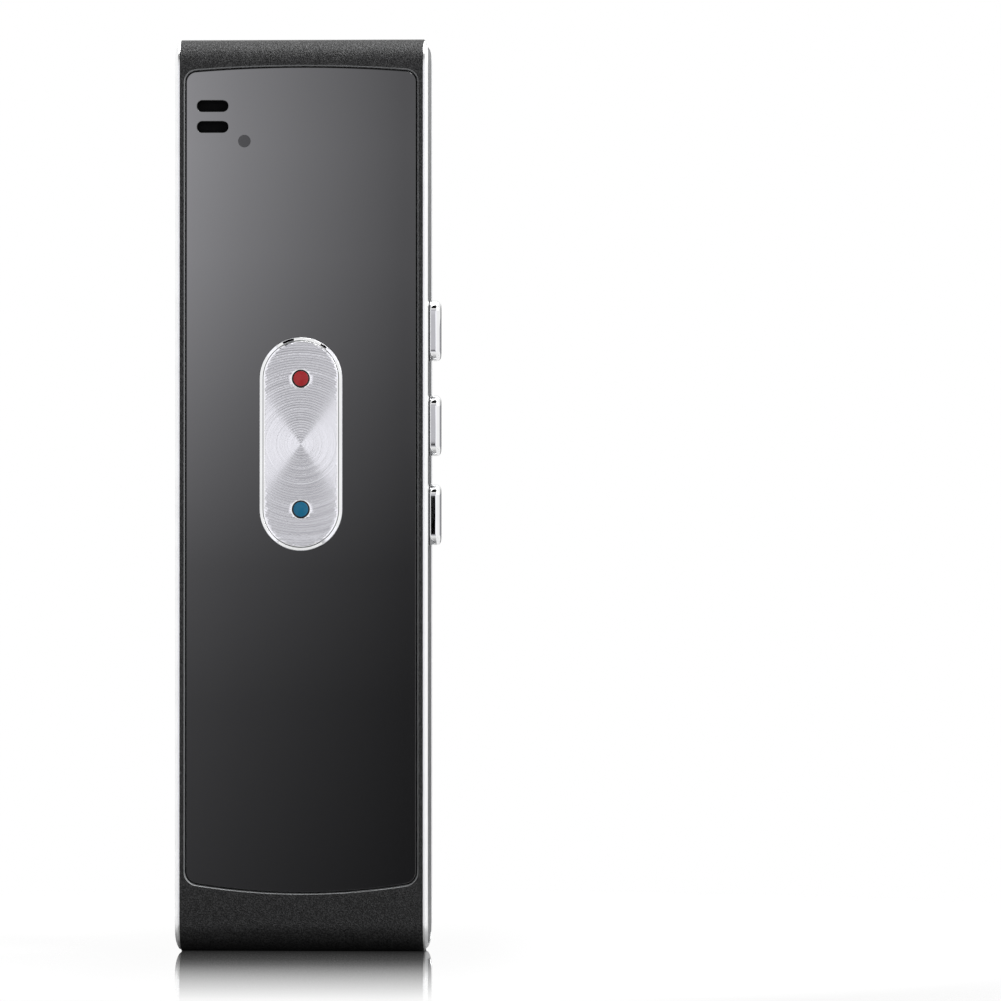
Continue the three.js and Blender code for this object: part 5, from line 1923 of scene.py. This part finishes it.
# Painted shadow: the floor's tone is darker near the object's footprint, and the metal's lower
# edges reflect it as a contact shadow.
FLOOR_SHADOW_TONES = ((0.0, 0.26), (0.3, 0.3), (0.6, 0.45))
SEEN_TONE = 0.3  # the share of the floor's tone that the camera sees lit
SEEN_WHITE = 1.02  # what the floor shows the camera by itself, less the next share of its tone
SEEN_SHADE = 1.5

CARD_CENTRE = (-117 * MM, -1500 * MM, 102 * MM)
CARD_SPAN = 1240 * MM
CARD_TINT = (0.985, 0.98, 1.03, 1.0)
CARD_HEIGHTS = (-200 * MM, 320 * MM)  # between which the brightness follows CARD_UPWARDS
CARD_UPWARDS = (
    (0.0, 0.5),
    (0.15, 0.35),
    (0.235, 0.105),
    (0.39, 0.165),
    (0.49, 0.27),
    (0.6, 0.55),
    (0.72, 0.89),
    (0.8, 1.0),
    (0.86, 0.97),
    (1.0, 0.4),
)
CARD_WIDTHS = (-160 * MM, -50 * MM)  # between which it follows CARD_ACROSS
CARD_ACROSS = ((0.0, 1.0), (0.2, 0.78), (0.41, 0.6), (0.76, 0.34), (1.0, 0.34))
FAN_SIDES = (56 * MM, 72 * MM)  # how far from the card's centre the fans begin
FAN_TOP = (320 * MM, 350 * MM)
FAN_BOTTOM = (-205 * MM, -235 * MM)
FAN_STEEP = (0.78, 0.84)  # the sine of the slope at which a bright fan turns into a dull one

# Each flag's width, height, place and strength
FLAGS = (
    ("high_flag", 700 * MM, 840 * MM, (-55 * MM, -720 * MM, 1030 * MM), 0.01),
    ("left_flag", 125 * MM, 150 * MM, (-233 * MM, -976 * MM, 529 * MM), 0.0),
    ("right_flag", 62 * MM, 150 * MM, (187 * MM, -1008 * MM, 476 * MM), 0.0),
    ("side_flag", 975 * MM, 170 * MM, (829 * MM, 559 * MM, 55 * MM), 0.6),
    ("rear_flag", 500 * MM, 400 * MM, (310 * MM, 1200 * MM, -10 * MM), 0.0),
    ("upper_button_flag", 66 * MM, 68 * MM, (-36 * MM, -1495 * MM, 127 * MM), 0.56),
    ("lower_button_flag", 66 * MM, 80 * MM, (-36 * MM, -1495 * MM, 53 * MM), 0.0),
)
LAMPS = (
    ("front_lamp", (1120 * MM, -780 * MM, 700 * MM), 700 * MM),
    ("top_lamp", (300 * MM, 60 * MM, 1300 * MM), 1000 * MM),
)


class TRANSLATOR_OT_stage(bpy.types.Operator):
    """The camera, the floor, the lamps and the graded card that the glass reflects."""

    bl_idname = "translator.stage"
    bl_label = "Stage"
    bl_options = {"REGISTER"}

    def execute(self, context):
        stage = values(context).stage
        self.camera(context)
        self.world(context, stage)
        self.floor(stage)
        self.cards(stage)
        self.lamps(context, stage)
        context.scene.view_settings.view_transform = "Standard"
        return {"FINISHED"}

    def camera(self, context):
        """The photograph's viewpoint: a metre away, a little to the right of the object."""
        data = bpy.data.cameras.new("camera")
        data.sensor_width = CAMERA_SENSOR
        data.lens = CAMERA_LENS
        made = bpy.data.objects.new("camera", data)
        made.location = CAMERA_PLACE
        made.rotation_euler = CAMERA_TURN
        context.scene.collection.objects.link(made)
        context.scene.camera = made

    def world(self, context, stage):
        """White behind the object and in its reflections, and an even fill everywhere else."""
        world = bpy.data.worlds.new("studio")
        world.use_nodes = True
        context.scene.world = world
        tree = world.node_tree
        background = tree.nodes["Background"]
        background.inputs["Color"].default_value = (1.0, 1.0, 1.0, 1.0)
        path = add_node(tree, "ShaderNodeLightPath").outputs
        seen = maths(tree, "MAXIMUM", path["Is Camera Ray"], path["Is Glossy Ray"])
        seen = maths(tree, "MAXIMUM", seen, path["Is Transmission Ray"])
        tree.links.new(between(tree, seen, stage.fill, 1.0), background.inputs["Strength"])

    def floor(self, stage):
        """A pale polished floor whose mirror image of the object fades, with a painted shadow that
        darkens it near the object, and which ends softly.
        """
        made = disc(FLOOR_RADIUS, -SHEET_THICKNESS, 0.0, (0.0, 0.0), end_place, 2 * ROUND_STEPS)
        made.name = "floor"
        finish, tree = new_material("pale_floor")
        tree.nodes.remove(tree.nodes["Principled BSDF"])
        place = add_node(tree, "ShaderNodeTexCoord").outputs["Object"]
        seen = add_node(tree, "ShaderNodeLightPath").outputs["Is Camera Ray"]
        near = self.nearness(tree, place, stage)
        shine = maths(tree, "MULTIPLY", graded(tree, near, FLOOR_SHINE), seen)
        tone = graded(tree, near, (*FLOOR_SHADOW_TONES, (1.0, stage.floor_tone)))
        tone = maths(tree, "MULTIPLY", tone, between(tree, seen, 1.0, SEEN_TONE))
        matt = add_node(tree, "ShaderNodeBsdfDiffuse", {"Color": tone}).outputs[0]
        lift = maths(tree, "SUBTRACT", SEEN_WHITE, maths(tree, "MULTIPLY", tone, SEEN_SHADE))
        lift = maths(tree, "MULTIPLY", seen, lift)
        glow = add_node(tree, "ShaderNodeEmission", {"Strength": lift}).outputs[0]
        pale = add_node(tree, "ShaderNodeAddShader", {0: matt, 1: glow}).outputs[0]
        inputs = {"Color": (0.97, 0.97, 0.97, 1.0), "Roughness": 0.02}
        mirror = add_node(tree, "ShaderNodeBsdfGlossy", inputs).outputs[0]
        surface = add_node(tree, "ShaderNodeMixShader", {0: shine, 1: pale, 2: mirror}).outputs[0]
        ended = share_between(tree, vector_maths(tree, "LENGTH", place), *FLOOR_END)
        clear = add_node(tree, "ShaderNodeBsdfTransparent").outputs[0]
        whole = add_node(tree, "ShaderNodeMixShader", {0: ended, 1: surface, 2: clear}).outputs[0]
        tree.links.new(whole, tree.nodes["Material Output"].inputs["Surface"])
        made.data.materials.append(finish)

    def nearness(self, tree, place, stage):
        """The distance from the object's footprint, as a share of the mirror's reach."""
        past = vector_maths(tree, "ABSOLUTE", place)
        past = vector_maths(tree, "SUBTRACT", past, FLOOR_FOOTPRINT)
        past = vector_maths(tree, "MAXIMUM", past)
        past = vector_maths(tree, "MULTIPLY", past, (stage.side_fade, 1.0, 1.0))
        return maths(tree, "DIVIDE", vector_maths(tree, "LENGTH", past), stage.mirror_reach)

    def light_card(self, name, across, up, place, aim, glow_of):
        """A flat card that only glossy surfaces see, as bright as a function of its tree says."""
        corners = [(-across / 2, -up / 2), (across / 2, -up / 2), (across / 2, up / 2)]
        corners.append((-across / 2, up / 2))
        made = prism(corners, -SHEET_THICKNESS, 0.0, own_place)
        made.name = name
        made.location = place
        made.rotation_euler = (Vector(aim) - Vector(place)).to_track_quat("Z", "Y").to_euler()
        finish, tree = new_material(name)
        tree.nodes.remove(tree.nodes["Principled BSDF"])
        inputs = {"Color": CARD_TINT, "Strength": glow_of(tree)}
        glow = add_node(tree, "ShaderNodeEmission", inputs).outputs[0]
        tree.links.new(glow, tree.nodes["Material Output"].inputs["Surface"])
        made.data.materials.append(finish)
        made.visible_camera = False
        made.visible_diffuse = False
        made.visible_shadow = False

    def card_glow(self, tree, stage):
        """The card's brightness: graded where the flat glass and key reflect it, and fans outside.

        The fans are two bright sectors left and right of the centre and two dull ones above and
        below it, which the turned grooves of the key draw as bright and dull arcs.
        """
        place = add_node(tree, "ShaderNodeNewGeometry").outputs["Position"]
        axes = axes_of(tree, place)
        upwards = graded(tree, share_between(tree, axes[2], *CARD_HEIGHTS), CARD_UPWARDS)
        across = graded(tree, share_between(tree, axes[0], *CARD_WIDTHS), CARD_ACROSS)
        glow = maths(tree, "MULTIPLY", upwards, across)
        glow = maths(tree, "MULTIPLY", glow, stage.card_strength)
        offset = vector_maths(tree, "SUBTRACT", place, CARD_CENTRE)
        steep = axes_of(tree, vector_maths(tree, "NORMALIZE", offset))[2]
        steep = maths(tree, "ABSOLUTE", steep)
        dull = stage.dull_fan
        stops = ((0.0, 1.0), (FAN_STEEP[0], 1.0), (FAN_STEEP[1], dull), (1.0, dull))
        fans = graded(tree, steep, stops)
        fans = maths(tree, "MULTIPLY", fans, stage.bright_fan)
        beside = share_between(tree, maths(tree, "ABSOLUTE", axes_of(tree, offset)[0]), *FAN_SIDES)
        above = share_between(tree, axes[2], *FAN_TOP)
        below = share_between(tree, axes[2], *FAN_BOTTOM)
        outside = maths(tree, "MAXIMUM", beside, maths(tree, "MAXIMUM", above, below))
        return add_node(tree, "ShaderNodeMix", {0: outside, 2: glow, 3: fans}).outputs[0]

    def cards(self, stage):
        """The graded card behind the camera, and the flags that draw lines in the chrome."""
        aim = (CARD_CENTRE[0], 0.0, CARD_CENTRE[2])
        self.light_card(
            "graded_card",
            CARD_SPAN,
            CARD_SPAN,
            CARD_CENTRE,
            aim,
            lambda tree: self.card_glow(tree, stage),
        )
        aim = (0.0, 0.0, KEY_HEIGHT)
        for name, across, up, place, strength in FLAGS:
            self.light_card(name, across, up, place, aim, lambda tree: strength)

    def lamps(self, context, stage):
        """Two large soft lamps."""
        aim = Vector((0.0, 0.0, BODY_HEIGHT / 2))
        powers = (stage.front_light, stage.top_light)
        for (name, place, across), power in zip(LAMPS, powers):
            data = bpy.data.lights.new(name, "AREA")
            data.shape = "SQUARE"
            data.size = across
            data.energy = power
            made = bpy.data.objects.new(name, data)
            made.location = place
            made.rotation_euler = (aim - Vector(place)).to_track_quat("-Z", "Y").to_euler()
            context.scene.collection.objects.link(made)


BUILDERS = (
    TRANSLATOR_OT_carried_nodes,
    TRANSLATOR_OT_front_shell,
    TRANSLATOR_OT_rear_shell,
    TRANSLATOR_OT_grille_rims,
    TRANSLATOR_OT_glass,
    TRANSLATOR_OT_trim_ring,
    TRANSLATOR_OT_key,
    TRANSLATOR_OT_side_frames,
    TRANSLATOR_OT_side_buttons,
    TRANSLATOR_OT_port,
    TRANSLATOR_OT_screws,
    TRANSLATOR_OT_stage,
)


class TranslatorLooks(bpy.types.PropertyGroup):
    """Every size, colour and light of the translator's looks."""

    housing: PointerProperty(type=HousingSizes, name="Housing")
    grille: PointerProperty(type=GrilleSizes, name="Grille")
    glass: PointerProperty(type=GlassSizes, name="Glass")
    key: PointerProperty(type=KeySizes, name="Key")
    sides: PointerProperty(type=SideSizes, name="Sides")
    colours: PointerProperty(type=FinishColours, name="Colours")
    stage: PointerProperty(type=StageValues, name="Stage")


class TRANSLATOR_PT_builders(bpy.types.Panel):
    """Lists the builders and the values that they use."""

    bl_idname = "TRANSLATOR_PT_builders"
    bl_label = "Translator"
    bl_space_type = "VIEW_3D"
    bl_region_type = "UI"
    bl_category = "Translator"

    def draw(self, context):
        looks = values(context)
        for builder in BUILDERS:
            self.layout.operator(builder.bl_idname)
        for group in ("housing", "grille", "glass", "key", "sides", "colours", "stage"):
            box = self.layout.box()
            box.label(text=group.capitalize())
            holder = getattr(looks, group)
            for name in holder.bl_rna.properties.keys():
                if name not in ("rna_type", "name"):
                    box.prop(holder, name)


CLASSES = (
    HousingSizes,
    GrilleSizes,
    GlassSizes,
    KeySizes,
    SideSizes,
    FinishColours,
    StageValues,
    TranslatorLooks,
    *BUILDERS,
    TRANSLATOR_PT_builders,
)


def register():
    for made in CLASSES:
        bpy.utils.register_class(made)
    bpy.types.Scene.translator_looks = PointerProperty(type=TranslatorLooks)


def unregister():
    del bpy.types.Scene.translator_looks
    for made in reversed(CLASSES):
        bpy.utils.unregister_class(made)


def main():
    register()
    for builder in BUILDERS:
        group, name = builder.bl_idname.split(".")
        getattr(getattr(bpy.ops, group), name)()


if __name__ == "__main__":
    main()
